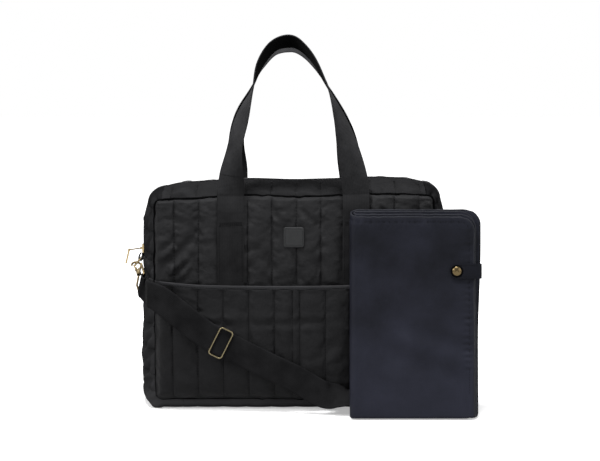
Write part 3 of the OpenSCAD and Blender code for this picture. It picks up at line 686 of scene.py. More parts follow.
def rim_gap(x, z):
    """How far a place on a panel lies from its seam."""
    drop = corner_drop(x)
    return np.minimum(PANEL_W / 2 - np.abs(x), np.minimum(z - SEAM_LO - drop, SEAM_HI - drop - z))


def along_rim(x, z):
    """Place along the nearest part of the seam."""
    return np.where(PANEL_W / 2 - np.abs(x) < np.minimum(z - SEAM_LO, SEAM_HI - z), z, x)


def gathers(x, z, seed):
    """Small ripples where a panel is drawn in along its seam, and how far inside it a place is."""
    edge = rim_gap(x, z)
    ripple = 2.0 * noise(along_rim(x, z) / 6, edge * 0 + 3.5, seed) * np.exp(-edge / 7)
    return ripple * ease(edge / 1.5), ease(edge / 5)


def folded(out, x, z, folds, held=1.0, narrow=1.0, deepen=1.0):
    """A surface with the folds of a list pressed into it."""
    for start, end, width, depth in folds:
        out = out + held * fold(x, z, start, end, narrow * width, deepen * depth)
    return out


FRONT_FOLDS = (((-156, 170), (-131, 197), 4.0, 2.6), ((-174, 176), (-116, 236), 7.0, 1.6),
               ((-128, 236), (-112, 224), 3.0, 1.4), ((-170, 205), (-140, 232), 5.0, 1.2),
               ((-30, 262), (-12, 238), 4.0, 1.0), ((8, 262), (26, 240), 4.0, 1.0),
               ((100, 262), (128, 236), 6.0, 1.4), ((-46, 200), (-18, 176), 6.0, 1.0))
BACK_FOLDS = (((-150, 60), (-110, 100), 6.0, 1.8), ((120, 40), (150, 90), 6.0, 1.6),
              ((30, 250), (50, 215), 5.0, 1.2), ((-40, 170), (10, 190), 7.0, 1.0))


def sewn_down(x, z, side):
    """1 under the handle legs, the pocket and the badge, 0 away from them."""
    legs = ease((20 - np.minimum(np.abs(x - LEG_AT[-1]), np.abs(x - LEG_AT[1]))) / 4)
    if side > 0:
        return legs * ease((z - LEGS_HOLD_FROM) / 8)
    pocket = ease((POCKET_HOLDS_TO - z) / 8)
    badge = ease((BADGE_HALF + 4 - np.maximum(np.abs(x), np.abs(z - BADGE_Z))) / 4)
    return np.maximum(np.maximum(legs, pocket), badge)


def panel_skin(x, z, side, folds, seed):
    ripple, inside = gathers(x, z, seed + 5)
    base = SEAM_Y + RIM * (0.1 + 0.5 * inside) + crown(x, z)
    base = base - 1.9 * seam_bite(along_rim(x, z)) * bell(rim_gap(x, z), 1.6)
    full = np.clip(quilt(x, z, *PANEL_LINES, seed), -0.25, 1.2)
    out = base + inside * (2.4 * PUFF * full + 2.5 * creases(x, z, seed + 8) - 1.1) + ripple
    out = folded(out, x, z, folds, inside, 0.75, 1.3)
    held = sewn_down(x, z, side)
    flat = np.minimum(out, panel_face(x, z) + SEAT - 0.15 - 0.8 * (1 - inside))
    return np.maximum(out + (flat - out) * held, base - 0.6)


def quilted(piece, body, *nodes):
    carry(piece, body, *nodes)


def stitched(name, rows, slot, body):
    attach(stitch_piece(name, rows, slot), body)


def bag_panel(name, side, folds, seed):
    x, z = panel_grid(SEAM_HI, *PANEL_LINES, 150)
    skin = panel_skin(x, z, side, folds, seed)
    under = np.minimum(SEAM_Y + crown(x, z), skin) - 0.8
    outer, inner = (settle(stack(x, side * y, z)) for y in (skin, under))
    quilted(sheet_piece(name + "_quilt", outer, inner, NYLON, "quilted_nylon"), "bag", name)


bag_panel("front_panel", -1, FRONT_FOLDS, FRONT_SEED)
bag_panel("back_panel", 1, BACK_FOLDS, BACK_SEED)


# Gussets: stations round the right half of the seam. Each has a place (x, z), the way out (x, z) and
# its place along the run.
CORNER_STEPS = 14


def corner_stations(angles):
    a = np.radians(angles)
    z = np.where(a < 0, SEAM_LO + PANEL_R, SEAM_HI - PANEL_R)
    c, s = np.cos(a), np.sin(a)
    return stack(TOP_HALF + PANEL_R * c, z + PANEL_R * s, c, s, z + PANEL_R * a)


def side_stations(z):
    return stack(PANEL_W / 2, z, 1, 0, z)


def upper_stations(z):
    """Up the side and round the upper corner."""
    return np.concatenate([side_stations(z), corner_stations(np.linspace(4, 90, CORNER_STEPS))])


def flat_stations(x, up):
    return stack(x, SEAM_HI if up > 0 else SEAM_LO, 0, up, x)


def bulge(s):
    """How far the gusset's middle stands out from the seam."""
    d2 = (PANEL_W / 2 - np.abs(s[:, 0])) ** 2 + np.minimum(s[:, 1] - SEAM_LO, SEAM_HI - s[:, 1]) ** 2
    rise = np.where(s[:, 3] > 0, TOP_BULGE, BASE_RISE)
    pinch = np.where(s[:, 1] > SEAM_MID, CORNER_PINCH, 0)
    sag = SIDE_BULGE + 3.4 * bell(s[:, 1] - 50, 65) - 3.5 * np.exp((SEAM_LO - s[:, 1]) / 13)
    # The weight in the bag fills its lower corners
    oval = np.hypot(sag * s[:, 2], rise * s[:, 3])
    square = np.abs(sag * s[:, 2]) + np.abs(rise * s[:, 3])
    out = np.where(s[:, 1] > SEAM_MID, oval, 0.08 * oval + 0.92 * square)
    return (1 - pinch * np.exp(-d2 / 500)) * out


def swell(s, y):
    """Share of the bulge at each place across the gusset."""
    arch = np.maximum(0, np.cos(np.pi / 2 * y / SEAM_Y))
    d = np.maximum(0, np.abs(y) - SEAM_Y + BASE_RISE) / BASE_RISE
    tray = np.sqrt(np.maximum(0, 1 - d * d))
    down = np.maximum(0, -s[:, 3:4])
    return (1 - down) * arch[None] + down * tray[None]


def push(s, y, d, floor=0.0):
    """Gusset points a distance d out from the seam's stations, flat where the bag stands."""
    return stack(s[:, 0:1] + s[:, 2:3] * d, y, np.maximum(s[:, 1:2] + s[:, 3:4] * d, floor))


def gusset_grids(s, y, shift, pitch, seed, folds=(), zip_edge=False):
    """Outer and inner grids of a gusset patch."""
    run = np.repeat(s[:, 4:5], len(y), 1)
    ys = np.broadcast_to(y[None], run.shape)
    edge = SEAM_Y - np.abs(ys)
    share = swell(s, y)
    cells = quilt(run, ys, shift, pitch, seed)
    soft = 2.0 * PUFF * (1 - np.clip(cells, -0.3, 1.15))
    slant = run + 0.9 * edge
    wrinkle = 4.6 * noise(slant / 10, edge / 45, seed + 4) * np.exp(-edge / 22) * ease(edge / 3)
    wrinkle = wrinkle + (1.6 * creases(run, ys, seed + 8) - 0.7) * (1 - 0.4 * share ** 2)
    drawn = np.abs(noise(run / 30 + ys / 28, ys / 9 - run / 70, seed + 12))
    wrinkle = wrinkle + 3.4 * (drawn - 0.4) * bell(edge, 34)
    plump = 0.55 + 0.5 * np.clip(cells, 0, 1)
    wrinkle = wrinkle + 4.0 * plump * (1 - bell(edge, 2.4)) * np.exp(-edge / 13)
    wrinkle = folded(wrinkle, run, ys, folds)
    down = np.maximum(0, -s[:, 3:4])
    soft = soft * (1 - 0.5 * down)
    if not zip_edge:
        soft = soft * (1 - 0.75 * share ** 2)
    full = bulge(s)[:, None] * share
    skin = full - soft * share ** (0.4 + 0.6 * down) + wrinkle * np.minimum(1, edge / 4) * (1 - down)
    skin = skin - 2.0 * seam_bite(run) * bell(edge, 1.4)
    # The corners are drawn into a mitre
    angle = np.arctan2(s[:, 3], s[:, 2])
    mitre = 2.4 * bell(angle + np.pi / 4, 0.2)
    mitre = mitre + 8.0 * np.exp(-(np.abs(angle - np.pi / 4) / 0.26) ** 1.4)
    skin = skin - mitre[:, None] * bell(edge, 24) * ease(edge / 2)
    deep = PUFF + WALL
    if zip_edge:
        under = skin - 2.4 - (deep - 2.4) * ease((np.abs(ys) - ZIP_HALF) / 14)
    else:
        under = full - deep
    return push(s, y, skin), push(s, y, np.minimum(under, skin - 1.2), 1.2)


def mirrored(grid, x_side, y_side):
    return grid * np.array([x_side, y_side, 1.0])


def gusset_piece(name, grids, x_side, y_side, material, slot="quilted_nylon"):
    """Sheet between two grids made for the right half of the front, and its outer grid in place."""
    outer, inner = (settle(mirrored(grid, x_side, y_side)) for grid in grids)
    return sheet_piece(name, outer, inner, material, slot), outer


SIDE_FOLDS = {
    -1: (((80, -64), (48, -14), 3.2, 4.2), ((100, -64), (66, -16), 3.2, 3.6),
         ((60, -64), (34, -18), 3.0, 3.6), ((120, -64), (92, -18), 3.0, 3.0),
         ((40, -64), (24, -24), 2.6, 2.6), ((128, -60), (170, -22), 6.0, 2.0),
         ((30, 50), (80, 5), 7.0, 1.6), ((150, 20), (185, 55), 6.0, 1.4)),
    1: (((50, -56), (100, -10), 6.0, 2.0), ((110, 55), (150, 12), 6.0, 1.8),
        ((140, -58), (175, -24), 6.0, 1.6)),
}
# Places across a whole gusset, and across one that ends at the zip
FULL_Y = SEAM_Y * np.sin(np.radians(np.linspace(90, -90, 61)))
ZIP_Y = -SEAM_Y + (SEAM_Y - ZIP_HALF) * (1 - np.cos(np.radians(np.linspace(90, 0, 28))))


def line_rows(stations, outer, shift, pitch, normal):
    """Stitches along the quilted lines of a gusset patch."""
    cell = (stations[:, 4] - shift) / pitch
    straight = np.abs(stations[:, 2] * stations[:, 3]) < 1e-6
    on_line = np.flatnonzero((np.abs(cell - np.round(cell)) < 1e-6) & straight)
    return [stitch_parts(outer[i, 2:-2], normal, r=0.45) for i in on_line]


for x_side, side_name in SIDES:
    side_z = quilt_columns(SEAM_LO + PANEL_R, ZIP_END - SEAT, *SIDE_LINES)
    lower = np.concatenate([flat_stations(np.linspace(BASE_HALF, TOP_HALF - 1, CORNER_STEPS), -1),
                            corner_stations(np.linspace(-90, -4, CORNER_STEPS)), side_stations(side_z)])
    grids = gusset_grids(lower, FULL_Y, *SIDE_LINES, 40 + x_side, SIDE_FOLDS[x_side])
    piece, outer = gusset_piece(side_name + "_side_quilt", grids, x_side, 1, NYLON_SIDE_PAINTED_LIGHT)
    quilted(piece, "bag", side_name + "_side_gusset")
    rise = slice(2 * CORNER_STEPS, None)
    rows = line_rows(lower[rise], outer[rise], *SIDE_LINES, (x_side, 0, 0))
    stitched(side_name + "_side_stitches", rows, "quilted_nylon", "bag")
    upper = upper_stations(quilt_columns(ZIP_END, SEAM_HI - PANEL_R, *SIDE_LINES))
    for y_side, face_name in ((1, "front"), (-1, "back")):
        strip = f"{side_name}_{face_name}_strip"
        grids = gusset_grids(upper, ZIP_Y, *SIDE_LINES, 50 + 3 * x_side + y_side, zip_edge=True)
        piece, _ = gusset_piece(strip + "_quilt", grids, x_side, y_side, NYLON_STRIP)
        quilted(piece, "bag", strip)

# Bottom, flat where it stands
stations = flat_stations(quilt_columns(-BASE_HALF + SEAT, BASE_HALF - SEAT, *TOP_LINES), -1)
outer, inner = gusset_grids(stations, FULL_Y[::-1], *TOP_LINES, 61)
piece = sheet_piece("bottom_quilt", waver(outer), waver(inner), NYLON_SIDE_PAINTED_LIGHT, "quilted_nylon")
quilted(piece, "bag", "bottom_gusset")

# Top flaps: the middle lifts with the zip, the ends stay sewn to the sides
LIFT_HALF = 112
FLAP_SPANS = (("left_end", -TOP_HALF + SEAT, -LIFT_HALF, 34), ("middle", -LIFT_HALF, LIFT_HALF, 132),
              ("right_end", LIFT_HALF, TOP_HALF - SEAT, 34))
FLAPS = ((1, "front_flap", "front_zip_half"), (-1, "back_flap", "back_zip_half"))


def across_flap(piece, part, flap, *nodes):
    """The middle replaces nodes; the ends of a flap stay in place between the bag and the middle."""
    if part == "middle":
        carry(piece, flap, *nodes)
    else:
        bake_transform(piece)


for y_side, flap, _ in FLAPS:
    for part, x_from, x_to, _ in FLAP_SPANS:
        name = f"{flap}_{part}"
        stations = flat_stations(quilt_columns(x_from, x_to, *TOP_LINES)[::-1], 1)
        grids = gusset_grids(stations, ZIP_Y, *TOP_LINES, 71 + y_side, zip_edge=True)
        piece, outer = gusset_piece(name, grids, 1, y_side, NYLON_TOP)
        across_flap(piece, part, flap, flap)
        rows = line_rows(stations, outer, *TOP_LINES, (0, -0.5 * y_side, 0.87))
        across_flap(stitch_piece(name + "_stitches", rows, "quilted_nylon"), part, flap)

# Painted shade along the front and back seams: a near-black tube lying in each seam's crease
for y_side, face_name in ((-1, "front"), (1, "back")):
    ring = rounded_ring(PANEL_W / 2, SEAM_HI - SEAM_MID, PANEL_R, 420, 8)
    x, z = ring[:, 0], ring[:, 1] + SEAM_MID
    line = settle(stack(x, y_side * (SEAM_Y - 1.4 + 0.9 * seam_bite(along_rim(x, z))), z))
    facing = everywhere((0, y_side, 0), line)
    across = unit(np.cross(ring_slope(line), facing))
    piece = sweep_piece(face_name + "_seam", line, across, facing, round_profile(1.2), SEAM_SHADE_AND_COLLAR,
                        "quilted_nylon", closed=True)
    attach(piece, "bag")


# Lining: an open tub of thin cloth
def make_lining():
    count, thick = 220, 0.7
    half_x, half_y, low, high = 169.8, 63.9, 20.9, 255.5
    foot, corner = 9, 12
    rings = []
    for k in range(12):
        grow = 0.03 + 0.97 * (k / 12) ** 0.8
        rings.append((half_x * grow, half_y * grow, 10 * grow, low))
    for a in np.radians(np.linspace(0, 90, 6)):
        tuck = foot * (1 - np.sin(a))
        rings.append((half_x - tuck, half_y - tuck, corner, low + foot * (1 - np.cos(a))))
    for z in np.linspace(low + 16, high, 44):
        rings.append((half_x, half_y, corner, z))

    def surface(inset):
        made = []
        for hx, hy, r, z in rings:
            ring = rounded_ring(hx - inset, hy - inset, max(0.4, r - inset), count)
            t = np.arange(count) / count * 46
            draw = 1.6 * np.abs(noise(t, 0 * t + z / 45, 91))
            draw = draw + 1.2 * np.abs(noise(t / 2.4, 0 * t + z / 120, 92))
            ring = ring - unit(ring) * (draw * ease((z - low) / 30))[:, None]
            made.append(np.column_stack([ring, np.full(count, z + (inset if z < low + 1 else 0))]))
        return made

    rows = surface(0) + surface(thick)[::-1]
    caps = np.stack([np.arange(count)[::-1], (len(rows) - 1) * count + np.arange(count)])
    piece = make_piece("lining_tub", np.concatenate(rows), [tube_quads(len(rows), count), caps],
                       LINING, "lining", sharp=70)
    carry(piece, "bag", "lining")


make_lining()


# ---------------------------------------------------------------- front pocket and badge
DIVIDER_X = -3.0


def pocket_back(x, z):
    """The pocket's inner face, which stands off the panel."""
    room = POCKET_ROOM * (1 - np.abs(2 * x / PANEL_W) ** 8)
    return panel_face(x, z) + SEAT + room * np.minimum(1, (z - SEAM_LO - corner_drop(x)) / 24)


def pocket_edge(x):
    """The pocket's top edge hangs a little between its sides."""
    hang = 3.6 * bell(x + 177, 42) - 0.8 * bell(x + 20, 60)
    return hang + 1.2 * ease((x - 20) / 120)


def pocket_level(x, z):
    return z + pocket_edge(x) * ease((z - 60) / 95)


POCKET_FOLDS = (((-168, 116), (-60, 112), 4.0, 1.5), ((-70, 113), (70, 118), 4.0, 1.2),
                ((-166, 128), (-120, 88), 6.0, 1.4), ((-150, 60), (-112, 30), 6.0, 1.4),
                ((20, 60), (60, 96), 6.0, 1.0), ((-100, 90), (-70, 60), 6.0, 1.0),
                ((90, 40), (140, 70), 6.0, 1.2))


def pocket_skin(x, z):
    shift, pitch = POCKET_LINES
    ripple, inside = gathers(x, z, 85)
    swollen = 1.65 * np.clip(quilt(x, z, shift, pitch, 81), -0.2, 1.02)
    line_off = np.abs((x - shift + pitch / 2) % pitch - pitch / 2)
    swollen = swollen - 0.5 * bell(line_off, 1.3)
    split = bell(x - DIVIDER_X, 2.2)
    free = np.minimum(inside, ease((POCKET_HI + 4 - z) / 6) * 0.6 + 0.4)
    out = pocket_back(x, z) + POCKET_T - 1.3 + PUFF * free * swollen * (1 - 0.8 * split) - 1.6 * split
    out = folded(out, x, z, POCKET_FOLDS, inside)
    out = out + inside * (1.2 * creases(x, z, 89) - 0.8)
    return np.maximum(out + 0.8 * ripple, pocket_back(x, z) + 1.2)


def tucked(x, z, out):
    """Where the pocket runs into the seam along its sides and foot."""
    edge = np.minimum(PANEL_W / 2 - np.abs(x), z - SEAM_LO - corner_drop(x))
    drawn = 1.3 * noise((z + 0.8 * edge) / 8, edge / 30, 91) * np.exp(-edge / 9) * ease(edge / 2.5)
    return SEAM_Y + 0.6 + (out - SEAM_Y - 0.6) * np.sqrt(ease(edge / 11)) + drawn


def pocket_rim(x):
    """Middle of the pocket's cloth along its top edge, and the level of that edge."""
    top = np.full_like(x, POCKET_HI)
    return pocket_back(x, top) + POCKET_T / 2, top, top + pocket_edge(x)


def make_pocket():
    x, z = panel_grid(POCKET_HI, *POCKET_LINES, 100)
    front = tucked(x, z, pocket_skin(x, z))
    back = np.minimum(tucked(x, z, pocket_back(x, z)), front - 1.0)
    outer, inner = (waver(stack(x, -y, pocket_level(x, z))) for y in (front, back))
    piece = sheet_piece("pocket_quilt", outer, inner, NYLON_POCKET, "quilted_nylon")
    quilted(piece, "bag", "pocket_panel")
    # Binding: a folded tape over the pocket's top edge
    line = np.linspace(-PANEL_W / 2, PANEL_W / 2, 200)
    middle, top, level = pocket_rim(line)
    wave = 0.25 * noise(line / 9, 0 * line, 87)
    mid = stack(line, -tucked(line, top, middle + wave), level + BINDING_H / 2)
    facing = everywhere((0, -1, 0), mid)
    across = unit(np.cross(facing, slope_of(mid)))
    t = np.radians(np.linspace(0, 180, 9))
    half, low = POCKET_T / 2 - 0.05, -BINDING_H / 2
    bend = stack(BINDING_H / 2 - half + half * np.sin(t), half * np.cos(t))
    profile = np.concatenate([[(low, half - 0.2), (low + 0.5, half)], bend,
                              [(low + 0.5, -half), (low, -half + 0.2)]])
    piece = sweep_piece("pocket_edge_binding", mid, across, facing, profile, BINDING, "binding")
    carry(piece, "bag", "pocket_binding")


make_pocket()


def on_pocket(x, z, lift):
    x = np.full_like(z, x)
    return stack(x, -tucked(x, z, pocket_skin(x, z)) - lift, pocket_level(x, z))


def on_panel(x, z, side, folds, seed):
    x = np.full_like(z, x)
    return settle(stack(x, side * (panel_skin(x, z, side, folds, seed) + THREAD_LIFT), z))


def make_stitching():
    front, back = (0, -1, 0), (0, 1, 0)
    reach, foot, head = 170, SEAM_LO + 6, SEAM_HI - 5
    places = lambda lines: [lines[0] + lines[1] * k for k in range(-5, 6)]
    rows = []
    for x, pocket_x in zip(places(PANEL_LINES), places(POCKET_LINES)):
        if abs(x) < reach and abs(abs(x) - LEG_X) > 18:
            line = on_panel(x, np.linspace(ABOVE_POCKET, head, 60), -1, FRONT_FOLDS, FRONT_SEED)
            rows.append(stitch_parts(line, front, r=0.42))
        if abs(x) < reach:
            line = on_panel(x, np.linspace(foot, head, 120), 1, BACK_FOLDS, BACK_SEED)
            rows.append(stitch_parts(line, back))
        if abs(pocket_x) < reach:
            line = on_pocket(pocket_x, np.linspace(foot, POCKET_HI - 2, 90), THREAD_LIFT)
            rows.append(stitch_parts(line, front, r=0.5))
    for x in (DIVIDER_X - 1.2, DIVIDER_X + 1.2):
        rows.append(stitch_parts(on_pocket(x, np.linspace(foot, POCKET_HI - 1, 90), 0.15), front))
    stitched("quilting_stitches", rows, "quilted_nylon", "bag")
    line = np.linspace(-PANEL_W / 2 + 3, PANEL_W / 2 - 3, 200)
    middle, top, level = pocket_rim(line)
    edge = stack(line, -tucked(line, top, middle) - POCKET_T / 2 - 0.25, level + 1.3)
    stitched("binding_stitches", [stitch_parts(edge, front)], "binding", "bag")


make_stitching()


def make_badge():
    half, r, z0 = BADGE_HALF, 3.2, BADGE_Z
    base = -panel_face(0, z0 - half) - SEAT
    p = np.linspace(-1, 1, 34)
    u, v = np.meshgrid(p, p, indexing="ij")
    # Rounded square from a square grid: the outer rows shrink toward the corners
    z = v * half
    short = np.maximum(0, np.abs(z) - half + r)
    x = u * (half - r + np.sqrt(np.maximum(0.04, r * r - short * short)))
    edge = half - np.maximum(np.abs(x), np.abs(z))
    dip = 0.28 * bell(edge - 2.2, 0.7)
    thick = 0.35 + 0.95 * ease(edge / 1.1) - dip + 0.1 * noise(x / 6, z / 6, 97)
    outer = stack(x, base - thick, z0 + z)
    inner = stack(x, base, z0 + z)
    carry(sheet_piece("badge_patch", settle(outer), settle(inner), LEATHER, "badge"), "bag", "badge")
    inset = half - 2.2
    ring = rounded_ring(inset, inset, 2.0, 160)
    ring = np.concatenate([ring, ring[:1]])
    path = settle(stack(ring[:, 0], base - 1.05, z0 + ring[:, 1]))
    stitched("badge_stitches", [stitch_parts(path, (0, -1, 0), 1.9, 2.5, 0.24)], "badge", "bag")


make_badge()


# ---------------------------------------------------------------- zip
TAPE_DROP, TAPE_T, TOOTH_PITCH = 1.5, 0.9, 2.6


def tape_grids(s, y):
    """Grids of a zip tape, whose edges lie under the cloth."""
    hidden = 2.2 * ease((np.abs(y) - ZIP_HALF + 2) / 4)
    d = bulge(s)[:, None] * swell(s, y) - TAPE_DROP - hidden
    return push(s, y, d), push(s, y, d - TAPE_T)


def tooth_parts(mid, out, along, y_side):
    """Zip teeth: short rounded bars across the zip, each with a bead at its tip."""
    reach = ((-2.9, 0.35), (-2.7, 0.62), (-0.7, 0.62), (-0.1, 0.85), (0.5, 0.8), (0.75, 0.45))
    across = np.array([0, y_side, 0.0])
    rings = [mid + across * y + r * (np.cos(a) * out + np.sin(a) * along)
             for y, r in reach for a in np.radians(np.arange(0, 360, 45))]
    cap = np.array([(0, 1, 2, 3), (0, 3, 4, 5), (0, 5, 6, 7)])
    quads = np.concatenate([tube_quads(len(reach), 8), 7 - cap, len(rings) - 8 + cap])
    return np.stack(rings, 1).reshape(-1, 3), copies(quads, len(rings), len(mid))


def teeth_on(s, y_side, x_side=1):
    """Teeth spaced along stations; y_side is the side that carries them."""
    out = stack(s[:, 2], 0, s[:, 3])
    line = stack(s[:, 0], 0, s[:, 1]) + out * (bulge(s) - 0.75)[:, None]
    run = run_along(line)
    first = 0.4 if y_side < 0 else 0.4 + TOOTH_PITCH / 2
    at = np.arange(first, run[-1] - 0.3, TOOTH_PITCH)
    mid, up = pick_at(at, run, line), unit(pick_at(at, run, out))
    points, faces = tooth_parts(mid, up, np.cross(up, np.array([0, 1.0, 0])), -y_side)
    return settle(mirrored(points, x_side, 1)), faces


def zip_pieces():
    for y_side, flap, half in FLAPS:
        for part, x_from, x_to, count in FLAP_SPANS:
            s = flat_stations(np.linspace(x_to, x_from, count), 1)
            grids = tape_grids(s, np.linspace(-SEAT, -ZIP_HALF - 4, 8))
            piece, _ = gusset_piece(f"{half}_{part}_tape", grids, 1, y_side, TAPE, "zip_tape")
            across_flap(piece, part, flap, half)
            points, faces = teeth_on(s, -y_side)
            teeth = make_piece(f"{half}_{part}_teeth", points, [faces], COIL, "zip_tape")
            across_flap(teeth, part, flap)
    for x_side, side_name in SIDES:
        s = upper_stations(np.linspace(ZIP_END, SEAM_HI - PANEL_R, 40))
        grids = tape_grids(s, np.linspace(ZIP_HALF + 3, -ZIP_HALF - 3, 15))
        piece, _ = gusset_piece(side_name + "_zip_tape", grids, x_side, 1, TAPE, "zip_tape")
        carry(piece, "bag", side_name + "_zip_run")
        points, faces = join_parts([teeth_on(s, side, x_side) for side in (-1, 1)])
        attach(make_piece(side_name + "_zip_teeth", points, [faces], COIL, "zip_tape"), "bag")


zip_pieces()


# ---------------------------------------------------------------- handles
WEB_W, WEB_T = 34, 1.6
HANDLE_Z, HANDLE_Y = SEAM_HI + 1, -(SEAM_Y + RIM + PUFF + SEAT + WEB_T / 2)
HANDLE_RISE, HANDLE_SWAY = 192, 7
BEND_LOW, BEND_HIGH = 256.0, 300.0
LEG_FOOT, LEG_SEWN = 147, (149, 240)
BAR_LEVELS = (238.5, 240.3, 242.0)
LOOP_STEPS = 150
# How the loop leaves an even arch, from its left foot to its right one: aside, up, and its turn
LOOP_ASIDE = np.array([-1.8, -0.6, -0.4, -1.2, -5.2, -5.0, 0.6, 1.6, 2.1, -1.6, -4.0, -3.4, 0.6])
LOOP_UP = np.array([0, 2.7, 0.2, -5.2, -1.2, 0.4, 1.6, 0.7, -2.0, -1.9, 0.3, -0.3, 0])
LOOP_TURN = np.radians([0, 51, 60, 85, 104, 112, 118, 108, 99, 90, 64, 29, 0])


def on_loop(a, table):
    return smooth_pick(a / np.pi * (len(table) - 1), table)


def loop_point(a):
    lift = np.sin(a)
    x = -LEG_X * np.cos(a) * (1 - 0.25 * lift ** 2) - HANDLE_SWAY * lift ** 2 + on_loop(a, LOOP_ASIDE)
    z = HANDLE_Z + HANDLE_RISE * lift + on_loop(a, LOOP_UP)
    return stack(x, HANDLE_Y, z)


def loop_stations(a):
    along = unit(loop_point(a + 0.004) - loop_point(a - 0.004))
    inward = stack(along[:, 2], 0, -along[:, 0])
    turn = on_loop(a, LOOP_TURN)
    across = np.cos(turn)[:, None] * inward - np.sin(turn)[:, None] * np.array([0, 1.0, 0])
    return loop_point(a), across, np.cross(across, along)


def leg_line(side, z):
    y = -(panel_face(LEG_X - WEB_W / 2, z) + SEAT + WEB_T / 2)
    return stack(LEG_AT[side], y, z)


def band_piece(name, centres, across, face, width=WEB_W, material=WEBBING):
    return sweep_piece(name, centres, across, face, band_profile(width, WEB_T), material, "webbing")


def settle_handle(points):
    """The loop's feet follow the bag's soft top."""
    moved = settle(points)
    fade = ease((420 - points[..., 2]) / 130)[..., None]
    return points + (moved - points) * fade


def make_handle(y_side, name):
    flip = np.array([1, -y_side, 1.0])

    def web(part, centres, across, face):
        return band_piece(f"{name}_{part}", centres, across * flip, face * flip, material=LOOP_WEBBING_PAINTED_LIGHT)

    def sewn(side, dx, z, *size):
        """Row of stitches on a leg's face."""
        seam = leg_line(side, z) + stack(dx, -WEB_T / 2 - THREAD_LIFT, 0)
        return stitch_parts(settle(seam * flip), (0, y_side, 0), *size)

    foot = math.asin((BEND_HIGH - HANDLE_Z) / HANDLE_RISE)
    centres, across, face = loop_stations(np.linspace(foot, math.pi - foot, LOOP_STEPS))
    if y_side > 0:
        # The photo shows one loop only, so the back one is spread from the camera's line and
        # lowered until the front one hides it from there: a fit to that one view
        high = ease((centres[:, 2] - BEND_HIGH) / 60)
        centres[:, 0] += 0.063 * (centres[:, 0] - CAMERA_AT[0] / MM) * high
        centres[:, 2] -= 6.5 * ease((centres[:, 2] - 400) / 50)
    wave = 0.5 * noise(np.linspace(0, 14, LOOP_STEPS), np.zeros(LOOP_STEPS), 101)[:, None] * face
    carry(web("loop", settle_handle((centres + wave) * flip), across, face), name, name)
    # In front the pocket covers the foot of the legs' sewing
    z_sewn = np.linspace(ABOVE_POCKET if y_side < 0 else LEG_SEWN[0], LEG_SEWN[1], 40)
    bars = BAR_LEVELS if y_side < 0 else (LEG_SEWN[0] + 0.5,) + BAR_LEVELS
    inset = WEB_W / 2 - 2.6
    rows, legs = [], []
    for side, side_name in SIDES:
        leg = leg_line(side, np.linspace(LEG_FOOT, BEND_LOW, 46))
        across = everywhere((1, 0, 0), leg)
        facing = np.cross(slope_of(leg), across)
        legs.append(web(side_name + "_leg", settle(leg * flip), across, facing))
        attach(legs[-1], "bag")
        # The webbing between the sewn leg and the loop bends with the handle
        low = leg_line(side, np.linspace(BEND_LOW, HANDLE_Z - SEAT, 12))
        rise = np.linspace(0.004, foot, 14)
        high, across, _ = loop_stations(rise if side < 0 else math.pi - rise)
        bend = np.concatenate([low, high])
        across = -side * np.concatenate([np.repeat(across[:1], len(low), 0), across])
        # The webbing between the sewn leg and the loop, bent from the leg's line into the loop's foot
        facing = unit(np.cross(across, slope_of(bend)))
        crook = web(side_name + "_bend", settle_handle(bend * flip), across, facing)
        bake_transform(crook)
        # Sewing: a line along each edge, closed by a bar of stitches
        rows += [sewn(side, dx, z_sewn) for dx in (-inset, inset)]
        rows += [sewn(side, np.linspace(-inset, inset, 24), z, 2.2, 2.5, 0.42) for z in bars]
    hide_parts(name + "_legs")
    stitched(name + "_stitches", rows, "webbing", "bag")


make_handle(-1, "front_handle")
make_handle(1, "back_handle")


# ---------------------------------------------------------------- rings, hooks and shoulder strap
WIRE_R, PLAY, RING_R, TAB_W, TAB_H, BOW_R, HOOK_L = 1.4, 0.25, 13.5, 12, 7, 6.2, 33
RING_TILT, HOOK_DIP, HOOK_YAW = (math.radians(a) for a in (40, 38, 20))
SIDE_X = PANEL_W / 2 + SIDE_BULGE
TAB_R = WIRE_R + PLAY + WEB_T
BAR_X, BAR_Z = SIDE_X + SEAT + TAB_R, ZIP_END - 5
HOOK_SIDE = np.array([math.cos(HOOK_YAW), -math.sin(HOOK_YAW), 0])
HOOK_DIR = np.array([-math.sin(HOOK_YAW) * math.cos(HOOK_DIP), -math.cos(HOOK_YAW) * math.cos(HOOK_DIP),
                     -math.sin(HOOK_DIP)])
HOOK_UP = np.cross(HOOK_DIR, HOOK_SIDE)
RING_LOW = RING_R * math.sin(HOOK_DIP)
RING_TOUCH = np.array([BAR_X + RING_LOW * math.sin(RING_TILT), -RING_R * math.cos(HOOK_DIP),
                       BAR_Z - RING_LOW * math.cos(RING_TILT)])
BOW_MID = RING_TOUCH + HOOK_DIR * (BOW_R - 2 * WIRE_R - 2 * SEAT)
EYE_BAR = BOW_MID + HOOK_DIR * HOOK_L


